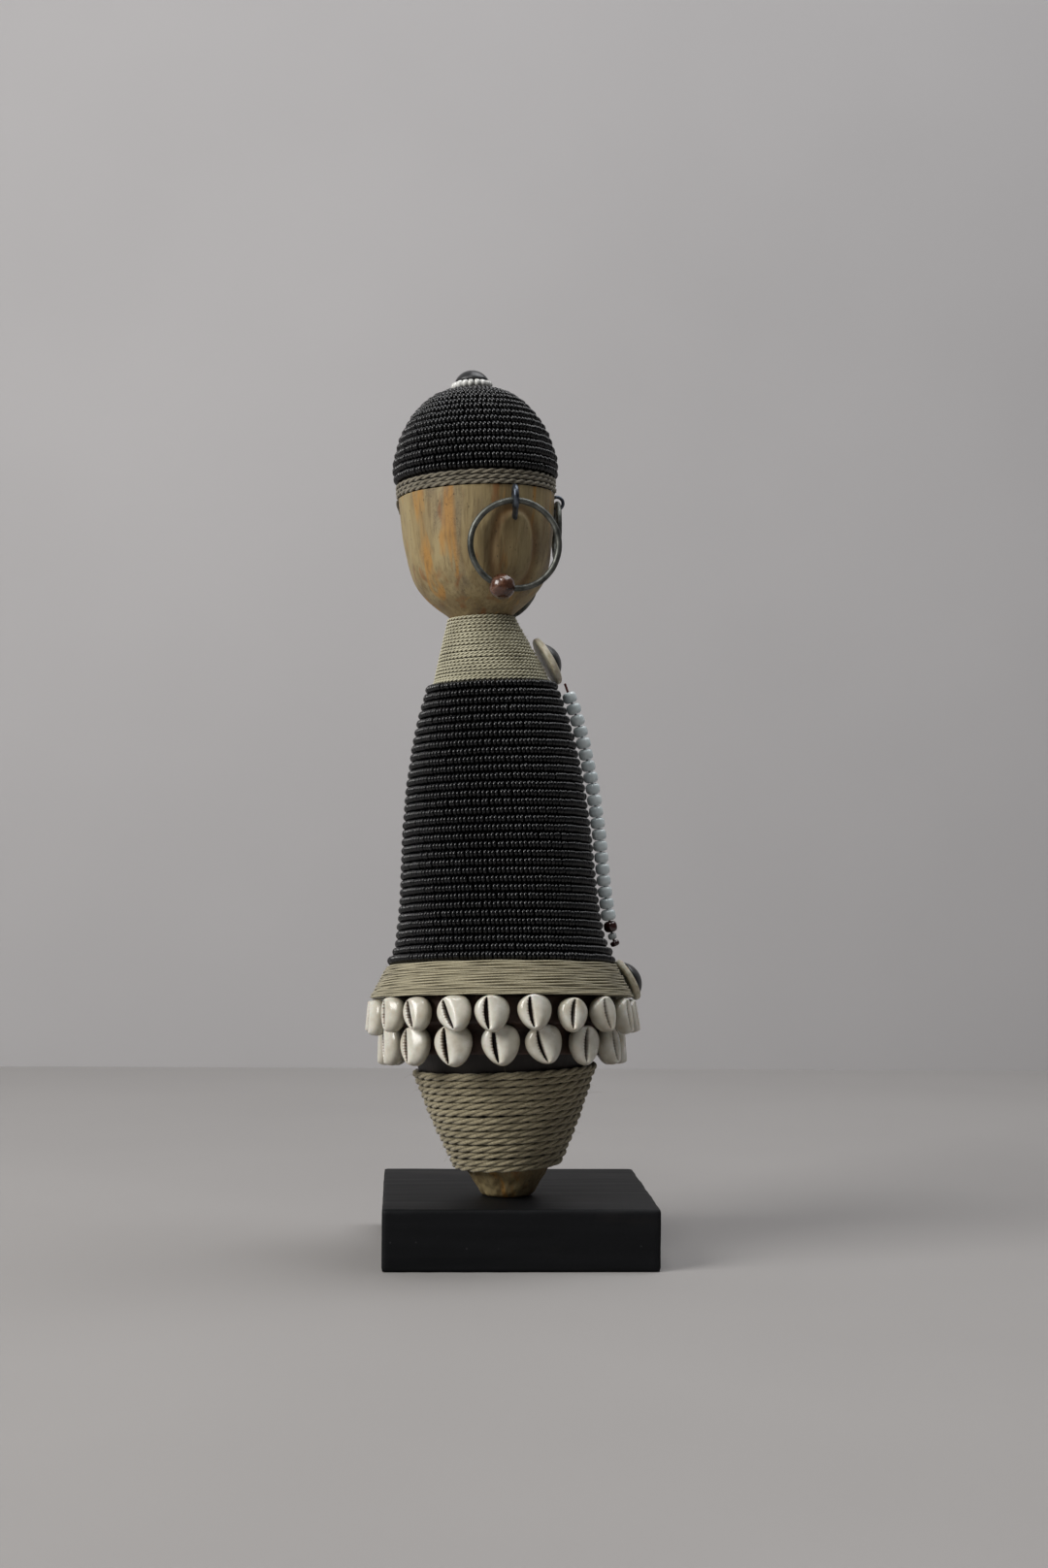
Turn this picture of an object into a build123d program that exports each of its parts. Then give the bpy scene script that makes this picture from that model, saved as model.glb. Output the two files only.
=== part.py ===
from build123d import *
import math
import os

# A wood fertility doll on a square stand. The turned figure is wound with rope, waxed
# twine and strings of glass beads, wears a skirt of cowrie shells, and carries a wire
# ring in each ear and one at the face.
# Millimetres, +Z up. The origin is the centre of the stand's underside.
# The doll faces +X.

# Driving dimensions
STAND_WIDTH = 90.0
STAND_HEIGHT = 20.0
STAND_EDGE = 0.7
FIT_GAP = 0.05  # between pieces that lie against each other
RIB_GROOVE_SHARE = 0.22  # how deep the grooves between turns are, as a share of their spacing

# Where the figure stands, and how far the hand-made piece leans
FOOT_X, FOOT_Y = -3.0, -14.0
LEAN_SIDE, LEAN_BACK, TURN = -1.0, -2.4, 5.0
NECK_BASE = 171.3  # heights above the stand, along the figure
HEAD_BASE = 194.0
HEAD_SHIFT = -2.84
HEAD_LEAN_SIDE, HEAD_LEAN_BACK = 0.3, -0.45
SKIRT_BASE = 65.2
SKIRT_TILT_SIDE, SKIRT_TILT_BACK = -4.5, 2.4
FIGURE = Pos(FOOT_X, FOOT_Y, STAND_HEIGHT) * Rot(LEAN_SIDE, LEAN_BACK, TURN)
HEAD = FIGURE * Pos(HEAD_SHIFT, 0, HEAD_BASE) * Rot(HEAD_LEAN_SIDE, HEAD_LEAN_BACK, 0)
SKIRT = FIGURE * Pos(0, 0, SKIRT_BASE) * Rot(SKIRT_TILT_SIDE, SKIRT_TILT_BACK, 0)

# Windings: (height, outer radius) points, and how thick each layer is
ROPE_OUTLINE = [(9.6, 18.2), (17.0, 21.3), (24.8, 24.8), (32.5, 27.6), (42.5, 31.3)]
ROPE_THICKNESS = 2.5
ROPE_TURNS = 14
TORSO_OUTLINE = [
    (74.0, 39.2),
    (79.3, 38.2),
    (81.6, 36.5),
    (85.2, 35.3),
    (92.0, 34.3),
    (101.0, 33.3),
    (120.5, 32.0),
    (136.6, 30.3),
    (152.0, 27.5),
    (160.0, 25.6),
    (NECK_BASE, 22.0),
]
BEAD_LAYER = 3.0
TORSO_ROWS = 34
NECK_RADIUS, NECK_TOP_RADIUS = 20.2, 11.5
NECK_LAYER = 1.3
CAP_OUTLINE = [
    (46.2, 27.7),
    (49.5, 28.2),
    (53.0, 28.0),
    (57.0, 27.0),
    (61.5, 25.5),
    (65.5, 23.5),
    (69.5, 20.8),
    (73.0, 17.4),
    (75.7, 13.8),
    (77.6, 9.0),
]
CAP_ROWS = 14
CAP_LINING = 0.5
BAND_BOTTOM, BAND_TOP, BAND_RADIUS = 41.1, 46.1, 27.3
BAND_LAYER = 1.8
BAND_TURNS = 3
TAIL_ANGLE, TAIL_RADIUS, TAIL_LENGTH, TAIL_ROOT = 165.0, 0.6, 5.6, 1.2  # the band's loose end

# Bare wood: (height, radius)
FOOT_RADIUS, FOOT_TOP_RADIUS, FOOT_HEIGHT = 8.3, 13.9, 9.2
FOOT_OVERLENGTH = 1.0  # trimmed level with the stand
HIP_HEIGHT, HIP_RADIUS = 66.0, 33.6
HEAD_OUTLINE = [
    (-0.6, 9.8),
    (0.1, 10.0),
    (1.8, 12.4),
    (5.8, 17.4),
    (9.8, 20.6),
    (13.5, 22.5),
    (18.0, 23.8),
    (27.2, 25.4),
    (BAND_BOTTOM, 26.4),
]
EAR_ANGLE = 66.5  # each side of the face
EAR_WIDTH, EAR_HEIGHT, EAR_MIDDLE = 19.5, 28.5, 20.5
EAR_GROOVE_WIDTH, EAR_GROOVE_DEPTH = 2.6, 0.9

# Belt and skirt, in heights above SKIRT_BASE along the tilted skirt
BELT_BOTTOM, BELT_TOP = 0.3, 11.4
BELT_BOTTOM_RADIUS, BELT_TOP_RADIUS = 44.6, 38.6
BELT_TURNS = 12
BACKING_TOP, BACKING_STEP_TOP, BACKING_STEP_FOOT, BACKING_BOTTOM = 0.2, -8.6, -10.6, -18.6
BACKING_THICKNESS = 1.3
# Each row of shells: how many, where the first one is round the skirt in degrees, the backing's
# radius, and a shell's middle height, length and width
UPPER_ROW = (20, 7.6, 38.4, -5.8, 11.7, 13.0)
LOWER_ROW = (16, -8.6, 34.2, -15.6, 13.4, 14.6)
SHELL_BACK, SHELL_FACE = 4.2, 2.6  # how deep a shell is behind and before its widest part
SLIT_WIDTH, SLIT_DEPTH, SLIT_SHARE = 1.3, 1.5, 0.8
STITCH_RADIUS, STITCH_THREAD = 2.0, 0.3
STITCH_BORE = STITCH_THREAD + 3 * FIT_GAP

# Discs, buttons and the strand of beads down the front
DISC_THICKNESS = 2.2
DISC_ROUND_SHARE = 0.4
CHEST_DISC_SHARE = 0.28  # how far up the neck the chest disc's middle is
CHEST_LIFT, BELT_LIFT = 1.4, 0.4  # lifts each disc clear of the ribs beside it
CHEST_DISC, BELT_DISC = 17.5, 15.0
BUTTON_WIDTH, BUTTON_HEIGHT, BUTTON_SHANK = 11.6, 3.3, 2.4
STRAND_BEADS, STRAND_BEAD_WIDTH, STRAND_BEAD_LENGTH = 20, 5.0, 3.75
STRAND_BORE, STRAND_THREAD, STRAND_KNOT, STRAND_ROUND_SHARE = 1.2, 0.8, 0.9, 0.35
STRAND_TOP, STRAND_BOTTOM, STRAND_LIFT = 166.3, 92.2, 0.5
THREAD_TOP = 170.8
DARK_BEAD = (88.2, 4.6, 3.8)  # height, width, length
CLEAR_BEAD = (84.9, 3.0, 2.2)
END_BEAD = (82.5, 3.2, 1.8)
CROWN_RING_WIDTH, CROWN_RING_HEIGHT, CROWN_BEADS = 14.2, 2.7, 18
CROWN_BEAD_FILL = 0.92  # how much of the ring's length its beads take up
CROWN_BUTTON_WIDTH, CROWN_BUTTON_HEIGHT, CROWN_FOOT_GAP = 11.2, 4.0, 0.2

# Ear and face rings
RING_WIDTH, RING_WIRE = 31.0, 2.1
FACE_RING_WIDTH, FACE_RING_WIRE = 20.0, 1.9
EYE_RADIUS, EYE_WIRE, EYE_GAP = 3.3, 2.0, 0.3
SHANK_LENGTH, SHANK_RADIUS, SHANK_DROP = 12.0, 0.95, 25.0  # the shank slopes down into the head
RIGHT_EYE = (-69.0, 36.1, -24.0)  # angle from the face, height, and how far it is twisted
LEFT_EYE = (70.0, 32.8, 0.0)
RING_BEAD_WIDTH, RING_BEAD_ANGLE = 8.5, 16.0
RUNNING_GAP = 0.1
HANGING_GAP = 0.15
FACE_EYE_HEIGHT = 38.6
STAPLE_RADIUS, STAPLE_WIRE, STAPLE_LEG, STAPLE_STANDOFF = 2.1, 1.2, 6.0, 1.3
FACE_RING_TURN = 1.5

# Screw that holds the figure to the stand
SCREW_RADIUS, SCREW_HEAD_RADIUS, SCREW_HEAD_HEIGHT, SCREW_LENGTH = 2.0, 4.0, 2.6, 46.0
SCREW_RECESS, SCREW_SLOT = 0.8, 0.7
OVERCUT = 200.0  # longer than the whole doll's width, for cutters that reach right through


def radius_at(outline, height):
    """The outline's radius at a height, straight between its points."""
    for (low, near), (high, far) in zip(outline, outline[1:]):
        if height <= high:
            return near + (far - near) * (height - low) / (high - low)
    return outline[-1][1]


def turned(points):
    """A solid turned about Z from (radius, height) points, closed along the axis."""
    low, high = points[0][1], points[-1][1]
    corners = [(0, 0, low)] + [(radius, 0, height) for radius, height in points] + [(0, 0, high)]
    return revolve(make_face(Polyline(*corners, close=True)), Axis.Z)


def wound_sleeve(outline, turns, thickness):
    """A sleeve wound from `turns` round strands, ribbed outside and plain inside."""
    low, high = outline[0][0], outline[-1][0]
    pitch = (high - low) / turns
    levels = [low + pitch * turn for turn in range(turns + 1)]
    groove = pitch * RIB_GROOVE_SHARE
    edges = []
    for below, above in zip(levels, levels[1:]):
        middle = (below + above) / 2
        start = (radius_at(outline, below) - groove, 0, below)
        crest = (radius_at(outline, middle), 0, middle)
        end = (radius_at(outline, above) - groove, 0, above)
        edges.append(ThreePointArc(start, crest, end))
    inner = [(radius - thickness, 0, height) for height, radius in reversed(outline)]
    edges.append(Polyline(edges[-1] @ 1, *inner, edges[0] @ 0))
    return revolve(make_face(edges), Axis.Z)


def make_stand():
    """The square block, with a countersunk hole for the screw."""
    block = Pos(0, 0, STAND_HEIGHT / 2) * Box(STAND_WIDTH, STAND_WIDTH, STAND_HEIGHT)
    block = chamfer(block.edges(), STAND_EDGE)
    hole = Cylinder(SCREW_RADIUS + FIT_GAP, OVERCUT)
    sink = Cylinder(SCREW_HEAD_RADIUS + FIT_GAP, (SCREW_HEAD_HEIGHT + SCREW_RECESS) * 2)
    return block - Pos(FOOT_X, FOOT_Y, 0) * (hole + sink)


def make_screw():
    """The screw through the stand into the figure, with a cross slot in its head."""
    shank = Pos(0, 0, SCREW_RECESS + SCREW_LENGTH / 2) * Cylinder(SCREW_RADIUS, SCREW_LENGTH)
    head = Pos(0, 0, SCREW_RECESS + SCREW_HEAD_HEIGHT / 2) * Cylinder(SCREW_HEAD_RADIUS, SCREW_HEAD_HEIGHT)
    slot = Box(SCREW_HEAD_RADIUS, SCREW_SLOT, SCREW_HEAD_HEIGHT)
    slot += Box(SCREW_SLOT, SCREW_HEAD_RADIUS, SCREW_HEAD_HEIGHT)
    return Pos(FOOT_X, FOOT_Y, 0) * (shank + head - Pos(0, 0, SCREW_RECESS) * slot)


def core_body():
    """The turned body under the windings, from the foot to the neck's base, in its own frame."""
    rope_low, rope_high = ROPE_OUTLINE[0], ROPE_OUTLINE[-1]
    points = [
        (FOOT_RADIUS, -FOOT_OVERLENGTH),
        (FOOT_TOP_RADIUS, FOOT_HEIGHT),
        (rope_low[1] - ROPE_THICKNESS - FIT_GAP, rope_low[0]),
        (rope_high[1] - ROPE_THICKNESS - FIT_GAP, rope_high[0]),
        (HIP_RADIUS, HIP_HEIGHT),
    ]
    points += [(radius - BEAD_LAYER - FIT_GAP, height) for height, radius in TORSO_OUTLINE[2:]]
    return turned(points)


def cone_between(low_radius, high_radius):
    """The neck's slanted cone, from the torso's top to under the head."""
    low = FIGURE * Pos(0, 0, NECK_BASE) * Circle(low_radius)
    high = HEAD * Circle(high_radius)
    return loft([low, high])


def under_beads():
    """The (radius, height) points of the cap's inside."""
    return [(radius - BEAD_LAYER - FIT_GAP, height) for height, radius in CAP_OUTLINE[:-1]]


def head_solid():
    """The bare head up to the band, and the dome under the cap, in the head's frame."""
    shoulder = BAND_RADIUS - BAND_LAYER - FIT_GAP
    points = [(radius, height) for height, radius in HEAD_OUTLINE]
    points += [(shoulder, BAND_BOTTOM), (shoulder, BAND_TOP)]
    under_cap = CAP_LINING + FIT_GAP
    inside = under_beads()
    points += [(inside[0][0] - under_cap, BAND_TOP)]
    points += [(radius - under_cap, height - under_cap) for radius, height in inside[1:]]
    return turned(points)


def on_head(angle, height, distance=0.0):
    """A frame on the head at an angle from the face, its X pointing outward."""
    return HEAD * Rot(0, 0, angle) * Pos(distance, 0, height)


def ear_groove(angle):
    """The cutter of the oval groove that outlines an ear."""
    outer = Ellipse(EAR_WIDTH / 2, EAR_HEIGHT / 2)
    inner = Ellipse(EAR_WIDTH / 2 - EAR_GROOVE_WIDTH, EAR_HEIGHT / 2 - EAR_GROOVE_WIDTH)
    band = extrude(Plane.YZ * (outer - inner), OVERCUT)
    core = turned([(radius - EAR_GROOVE_DEPTH, height) for height, radius in HEAD_OUTLINE])
    return on_head(angle, EAR_MIDDLE) * band - HEAD * core


def eye_frame(angle, height, twist):
    """The middle of an ear's eye, X pointing away from the head along the eye's own plane."""
    surface = radius_at(HEAD_OUTLINE, height)
    standoff = EYE_GAP + EYE_WIRE / 2 + EYE_RADIUS
    return on_head(angle, height, surface) * Rot(0, 0, twist) * Pos(standoff, 0, 0)


def eye_shank(radius):
    """The sloping shank that leaves the eye's lowest point, in the eye's frame."""
    shank = Pos(0, 0, SHANK_LENGTH / 2) * Cylinder(radius, SHANK_LENGTH)
    return Pos(0, 0, -EYE_RADIUS) * Rot(0, -90 - SHANK_DROP, 0) * shank


def make_figure():
    """The carved figure: foot, body, neck, head with two outlined ears, and its drilled holes."""
    neck = cone_between(NECK_RADIUS - NECK_LAYER - FIT_GAP, NECK_TOP_RADIUS - NECK_LAYER - FIT_GAP)
    figure = FIGURE * core_body() + neck + HEAD * head_solid()
    for angle in (-EAR_ANGLE, EAR_ANGLE):
        figure -= ear_groove(angle)
    stand_top = STAND_HEIGHT + FIT_GAP
    stand_space = Pos(0, 0, stand_top / 2) * Box(STAND_WIDTH, STAND_WIDTH, stand_top)
    screw_space = Cylinder(SCREW_RADIUS + FIT_GAP, (SCREW_LENGTH + SCREW_RECESS + FIT_GAP) * 2)
    figure = figure - stand_space - Pos(FOOT_X, FOOT_Y, 0) * screw_space
    for eye in (RIGHT_EYE, LEFT_EYE):
        figure -= eye_frame(*eye) * eye_shank(SHANK_RADIUS + FIT_GAP)
    return figure - staple_hole()


def make_screw_eye(eye):
    """A wire eye standing on edge, with its shank in the head."""
    loop = Rot(90, 0, 0) * Torus(EYE_RADIUS, EYE_WIRE / 2)
    return eye_frame(*eye) * (loop + eye_shank(SHANK_RADIUS))


def ring_place(eye):
    """Where an ear ring's centre is: it hangs plumb, resting on the eye's lowest wire."""
    middle = eye_frame(*eye).position
    top = middle.Z - EYE_RADIUS + (EYE_WIRE + RING_WIRE) / 2 + HANGING_GAP
    centre_radius = (RING_WIDTH - RING_WIRE) / 2
    outward = (eye_frame(*eye) * Pos(1, 0, 0)).position - middle
    heading = math.degrees(math.atan2(outward.Y, outward.X))
    return Pos(middle.X, middle.Y, top - centre_radius) * Rot(0, 0, heading) * Rot(0, 90, 0)


def make_ring(place):
    """An ear ring, whose axis points away from the head."""
    return place * Torus((RING_WIDTH - RING_WIRE) / 2, RING_WIRE / 2)


def make_ring_bead(place, angle):
    """The bead on an ear ring, its bore curved like the ring; 0 degrees is the lowest point."""
    centre_radius = (RING_WIDTH - RING_WIRE) / 2
    bead = Pos(centre_radius, 0, 0) * Sphere(RING_BEAD_WIDTH / 2)
    bore = Torus(centre_radius, RING_WIRE / 2 + RUNNING_GAP)
    return place * Rot(0, 0, angle) * (bead - bore)


def staple_frame():
    """The middle of the small eye at the face that the face ring hangs in."""
    return on_head(0, FACE_EYE_HEIGHT, radius_at(HEAD_OUTLINE, FACE_EYE_HEIGHT) + STAPLE_STANDOFF)


def staple_hole():
    """The hole for the small eye at the face, whose inner half is sunk in the wood."""
    leg = Rot(0, 90, 0) * Cylinder(STAPLE_WIRE / 2 + FIT_GAP, 2 * (STAPLE_LEG + FIT_GAP))
    loop = Rot(90, 0, 0) * Torus(STAPLE_RADIUS, STAPLE_WIRE / 2 + FIT_GAP)
    return staple_frame() * (Pos(-STAPLE_RADIUS, 0, 0) * leg + loop)


def make_staple():
    """The small wire eye at the face."""
    leg = Pos(-STAPLE_RADIUS - STAPLE_LEG / 2, 0, 0) * Rot(0, 90, 0) * Cylinder(STAPLE_WIRE / 2, STAPLE_LEG)
    return staple_frame() * (Rot(90, 0, 0) * Torus(STAPLE_RADIUS, STAPLE_WIRE / 2) + leg)


def face_ring_place():
    """The face ring hangs plumb in its eye, flat to the face."""
    eye = staple_frame().position
    top = eye.Z - STAPLE_RADIUS + (STAPLE_WIRE + FACE_RING_WIRE) / 2 + HANGING_GAP
    centre_radius = (FACE_RING_WIDTH - FACE_RING_WIRE) / 2
    return Pos(eye.X, eye.Y, top - centre_radius) * Rot(0, 0, FACE_RING_TURN) * Rot(0, 90, 0)


def make_face_ring():
    """The smaller ring at the face."""
    return face_ring_place() * Torus((FACE_RING_WIDTH - FACE_RING_WIRE) / 2, FACE_RING_WIRE / 2)


def make_cap_beads():
    """The cap wound of glass beads, in the head's frame."""
    return HEAD * wound_sleeve(CAP_OUTLINE, CAP_ROWS, BEAD_LAYER)


def make_cap_lining():
    """The thin cloth cap that the beads are stitched to."""
    outer = under_beads()
    inner = [(radius - CAP_LINING, height - CAP_LINING) for radius, height in outer[1:]]
    rim = (outer[0][0] - CAP_LINING, outer[0][1] - CAP_LINING)
    return HEAD * (turned(outer) - turned([rim] + inner))


def make_cap_band():
    """Three turns of cord under the cap, with the cord's loose end at the back."""
    outline = [(BAND_BOTTOM, BAND_RADIUS), (BAND_TOP, BAND_RADIUS)]
    band = wound_sleeve(outline, BAND_TURNS, BAND_LAYER)
    tail = Cylinder(TAIL_RADIUS, TAIL_LENGTH)
    tail_middle = Pos(BAND_RADIUS - TAIL_RADIUS / 2, 0, BAND_BOTTOM + TAIL_ROOT - TAIL_LENGTH / 2)
    return HEAD * (band + Rot(0, 0, TAIL_ANGLE) * tail_middle * tail)


def crown_frame(height):
    """The middle of the crown at a height above the cap's top."""
    return HEAD * Pos(0, 0, CAP_OUTLINE[-1][0] + FIT_GAP + height)


def make_crown_ring():
    """A ring of white beads lying on the cap's top, as separate beads."""
    bead_radius = CROWN_RING_HEIGHT / 2
    circle = (CROWN_RING_WIDTH - CROWN_RING_HEIGHT) / 2
    length = 2 * math.pi * circle / CROWN_BEADS * CROWN_BEAD_FILL
    bead = Rot(90, 0, 0) * (Cylinder(bead_radius, length) - Cylinder(bead_radius / 3, length * 2))
    beads = [
        crown_frame(bead_radius) * Rot(0, 0, 360 / CROWN_BEADS * turn) * Pos(circle, 0, 0) * bead
        for turn in range(CROWN_BEADS)
    ]
    return Compound(beads)


def dome(width, height):
    """A button's domed top, flat below at z = 0."""
    ball = (width * width / 4 + height * height) / (2 * height)
    return Pos(0, 0, height - ball) * Sphere(ball) & Pos(0, 0, height / 2) * Cylinder(width / 2, height)


def make_crown_button():
    """The button on the crown, with its foot inside the white ring."""
    cap = dome(CROWN_BUTTON_WIDTH, CROWN_BUTTON_HEIGHT)
    foot_radius = CROWN_RING_WIDTH / 2 - CROWN_RING_HEIGHT - CROWN_FOOT_GAP
    foot = Pos(0, 0, -CROWN_RING_HEIGHT / 2) * Cylinder(foot_radius, CROWN_RING_HEIGHT)
    return crown_frame(CROWN_RING_HEIGHT + FIT_GAP) * (cap + foot)


def make_neck_twine():
    """The twine wound round the neck."""
    inside = cone_between(NECK_RADIUS - NECK_LAYER, NECK_TOP_RADIUS - NECK_LAYER)
    return cone_between(NECK_RADIUS, NECK_TOP_RADIUS) - inside


def make_torso_beads():
    """Strings of black glass beads wound from the belt's tilted top up to the neck."""
    below_belt_top = Pos(0, 0, BELT_TOP + FIT_GAP - OVERCUT / 2) * Box(OVERCUT, OVERCUT, OVERCUT)
    return FIGURE * wound_sleeve(TORSO_OUTLINE, TORSO_ROWS, BEAD_LAYER) - SKIRT * below_belt_top


def make_rope():
    """The twisted rope wound above the foot."""
    return FIGURE * wound_sleeve(ROPE_OUTLINE, ROPE_TURNS, ROPE_THICKNESS)


def make_belt():
    """The waxed twine of the belt, wound over the hips and the skirt's top edge."""
    outline = [(BELT_BOTTOM, BELT_BOTTOM_RADIUS), (BELT_TOP, BELT_TOP_RADIUS)]
    return SKIRT * wound_sleeve(outline, BELT_TURNS, BELT_TOP_RADIUS / 2) - FIGURE * hip_clearance()


def hip_clearance():
    """The wood hips, a fit gap larger, for whatever is wound on them."""
    rope_high = ROPE_OUTLINE[-1]
    points = [(rope_high[1] - ROPE_THICKNESS, rope_high[0]), (HIP_RADIUS + FIT_GAP, HIP_HEIGHT)]
    points += [(radius - BEAD_LAYER, height) for height, radius in TORSO_OUTLINE[2:4]]
    return turned(points)


def shell_frame(turn, row):
    """A frame on the backing behind one shell, X pointing outward."""
    count, first, radius, middle = row[:4]
    return SKIRT * Rot(0, 0, first + 360 / count * turn) * Pos(radius, 0, middle)


def shell_side(length, width, depth):
    """One side of a shell: a cap of the given length, width and depth on the plane x = 0."""
    radius = (width * width / 4 + depth * depth) / (2 * depth)
    back = radius - depth
    half = length / 2 / math.sqrt(1 - (back / radius) ** 2)
    outline = Plane.XZ * Ellipse(radius, half) & Pos(radius, 0, 0) * Box(2 * radius, radius, 2 * half)
    return Pos(-back, 0, 0) * revolve(outline, Axis.Z)


def stitch_tunnel():
    """The round tunnel that a stitch runs in, through a shell's back and the backing."""
    return Rot(90, 0, 0) * Torus(STITCH_RADIUS, STITCH_BORE)


def make_cowrie(length, width):
    """One shell, with the slit in its face and a tunnel behind for its stitch."""
    face = shell_side(length, width, SHELL_FACE)
    back = Rot(0, 0, 180) * shell_side(length, width, SHELL_BACK)
    front_half = Pos(length, 0, 0) * Box(2 * length, 2 * length, 2 * length)
    body = Pos(SHELL_BACK + FIT_GAP, 0, 0) * ((face & front_half) + (back - front_half))
    slit = extrude(Plane.YZ * Ellipse(SLIT_WIDTH / 2, length * SLIT_SHARE / 2), length)
    body -= Pos(SHELL_BACK + SHELL_FACE - SLIT_DEPTH, 0, 0) * slit
    return body - stitch_tunnel()


def make_shells(row):
    """One row of shells round the skirt, as separate shells."""
    cowrie = make_cowrie(*row[4:])
    return Compound([shell_frame(turn, row) * cowrie for turn in range(row[0])])


def make_stitches(row):
    """The thread loops that hold a row of shells to the backing."""
    loop = Rot(90, 0, 0) * Torus(STITCH_RADIUS, STITCH_THREAD)
    return Compound([shell_frame(turn, row) * loop for turn in range(row[0])])


def make_backing():
    """The leather band behind the shells, stepped in for the lower row and pierced for the stitches."""
    upper, lower = UPPER_ROW[2], LOWER_ROW[2]
    outer = [
        (lower, BACKING_BOTTOM),
        (lower, BACKING_STEP_FOOT),
        (upper, BACKING_STEP_TOP),
        (upper, BACKING_TOP),
    ]
    band = turned(outer) - turned([(radius - BACKING_THICKNESS, height) for radius, height in outer])
    tunnels = [
        shell_frame(turn, row) * stitch_tunnel()
        for row in (UPPER_ROW, LOWER_ROW)
        for turn in range(row[0])
    ]
    return (SKIRT * band).cut(*tunnels)


def chest_frame():
    """The outer face of the neck twine at the chest, X pointing outward from the slope."""
    slope = math.degrees(math.atan2(NECK_RADIUS - NECK_TOP_RADIUS - HEAD_SHIFT, HEAD_BASE - NECK_BASE))
    share = CHEST_DISC_SHARE
    distance = NECK_RADIUS + (NECK_TOP_RADIUS - NECK_RADIUS + HEAD_SHIFT) * share
    height = NECK_BASE + (HEAD_BASE - NECK_BASE) * share
    return FIGURE * Pos(distance, 0, height) * Rot(0, -slope, 0) * Pos(CHEST_LIFT, 0, 0)


def belt_frame():
    """The outer face of the belt at the front, X pointing outward from the slope."""
    slope = math.degrees(math.atan2(BELT_BOTTOM_RADIUS - BELT_TOP_RADIUS, BELT_TOP - BELT_BOTTOM))
    middle = (BELT_BOTTOM + BELT_TOP) / 2
    radius = (BELT_BOTTOM_RADIUS + BELT_TOP_RADIUS) / 2
    return SKIRT * Pos(radius, 0, middle) * Rot(0, -slope, 0) * Pos(BELT_LIFT, 0, 0)


def make_disc(frame, width):
    """A disc with a soft rim, drilled for a button's shank."""
    disc = fillet(Cylinder(width / 2, DISC_THICKNESS).edges(), DISC_THICKNESS * DISC_ROUND_SHARE)
    disc -= Cylinder(BUTTON_SHANK / 2 + FIT_GAP, DISC_THICKNESS * 2)
    return frame * Pos(DISC_THICKNESS / 2 + FIT_GAP, 0, 0) * Rot(0, 90, 0) * disc


def make_button(frame):
    """A domed button with its shank through the disc."""
    shank = Pos(0, 0, -DISC_THICKNESS / 2) * Cylinder(BUTTON_SHANK / 2, DISC_THICKNESS)
    button = dome(BUTTON_WIDTH, BUTTON_HEIGHT) + shank
    return frame * Pos(DISC_THICKNESS + 2 * FIT_GAP, 0, 0) * Rot(0, 90, 0) * button


def strand_point(height):
    """The strand's middle at a height, in the figure's frame, clear of the wound beads."""
    reach = radius_at(TORSO_OUTLINE, height) + STRAND_BEAD_WIDTH / 2 + STRAND_LIFT
    return Vector(reach, 0, height)


def strand_frame(height):
    """A frame on the strand with Z along it."""
    along = strand_point(height + STRAND_BEAD_LENGTH / 2) - strand_point(height - STRAND_BEAD_LENGTH / 2)
    return FIGURE * Plane(origin=strand_point(height), x_dir=(0, 1, 0), z_dir=along).location


def strand_bead(height, width, length):
    """One round-shouldered bead threaded on the strand."""
    bead = fillet(Cylinder(width / 2, length).edges(), length * STRAND_ROUND_SHARE)
    return strand_frame(height) * (bead - Cylinder(STRAND_BORE / 2, length * 2))


def strand_heights():
    """The heights of the white beads, from the top one down."""
    step = (STRAND_TOP - STRAND_BOTTOM) / (STRAND_BEADS - 1)
    return [STRAND_TOP - step * number for number in range(STRAND_BEADS)]


def make_strand_thread():
    """The thread through every bead, straight from each bead's middle to the next, a knot at each."""
    heights = [THREAD_TOP] + strand_heights() + [DARK_BEAD[0], CLEAR_BEAD[0], END_BEAD[0]]
    points = [strand_point(height) for height in heights]
    knot = Sphere(STRAND_KNOT / 2)
    thread = Pos(points[0]) * knot
    for start, end in zip(points, points[1:]):
        run = Plane(origin=start, z_dir=end - start) * Pos(0, 0, (end - start).length / 2)
        thread += run * Cylinder(STRAND_THREAD / 2, (end - start).length)
        thread += Pos(end) * knot
    return FIGURE * thread


RIGHT_RING = ring_place(RIGHT_EYE)
LEFT_RING = ring_place(LEFT_EYE)

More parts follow.
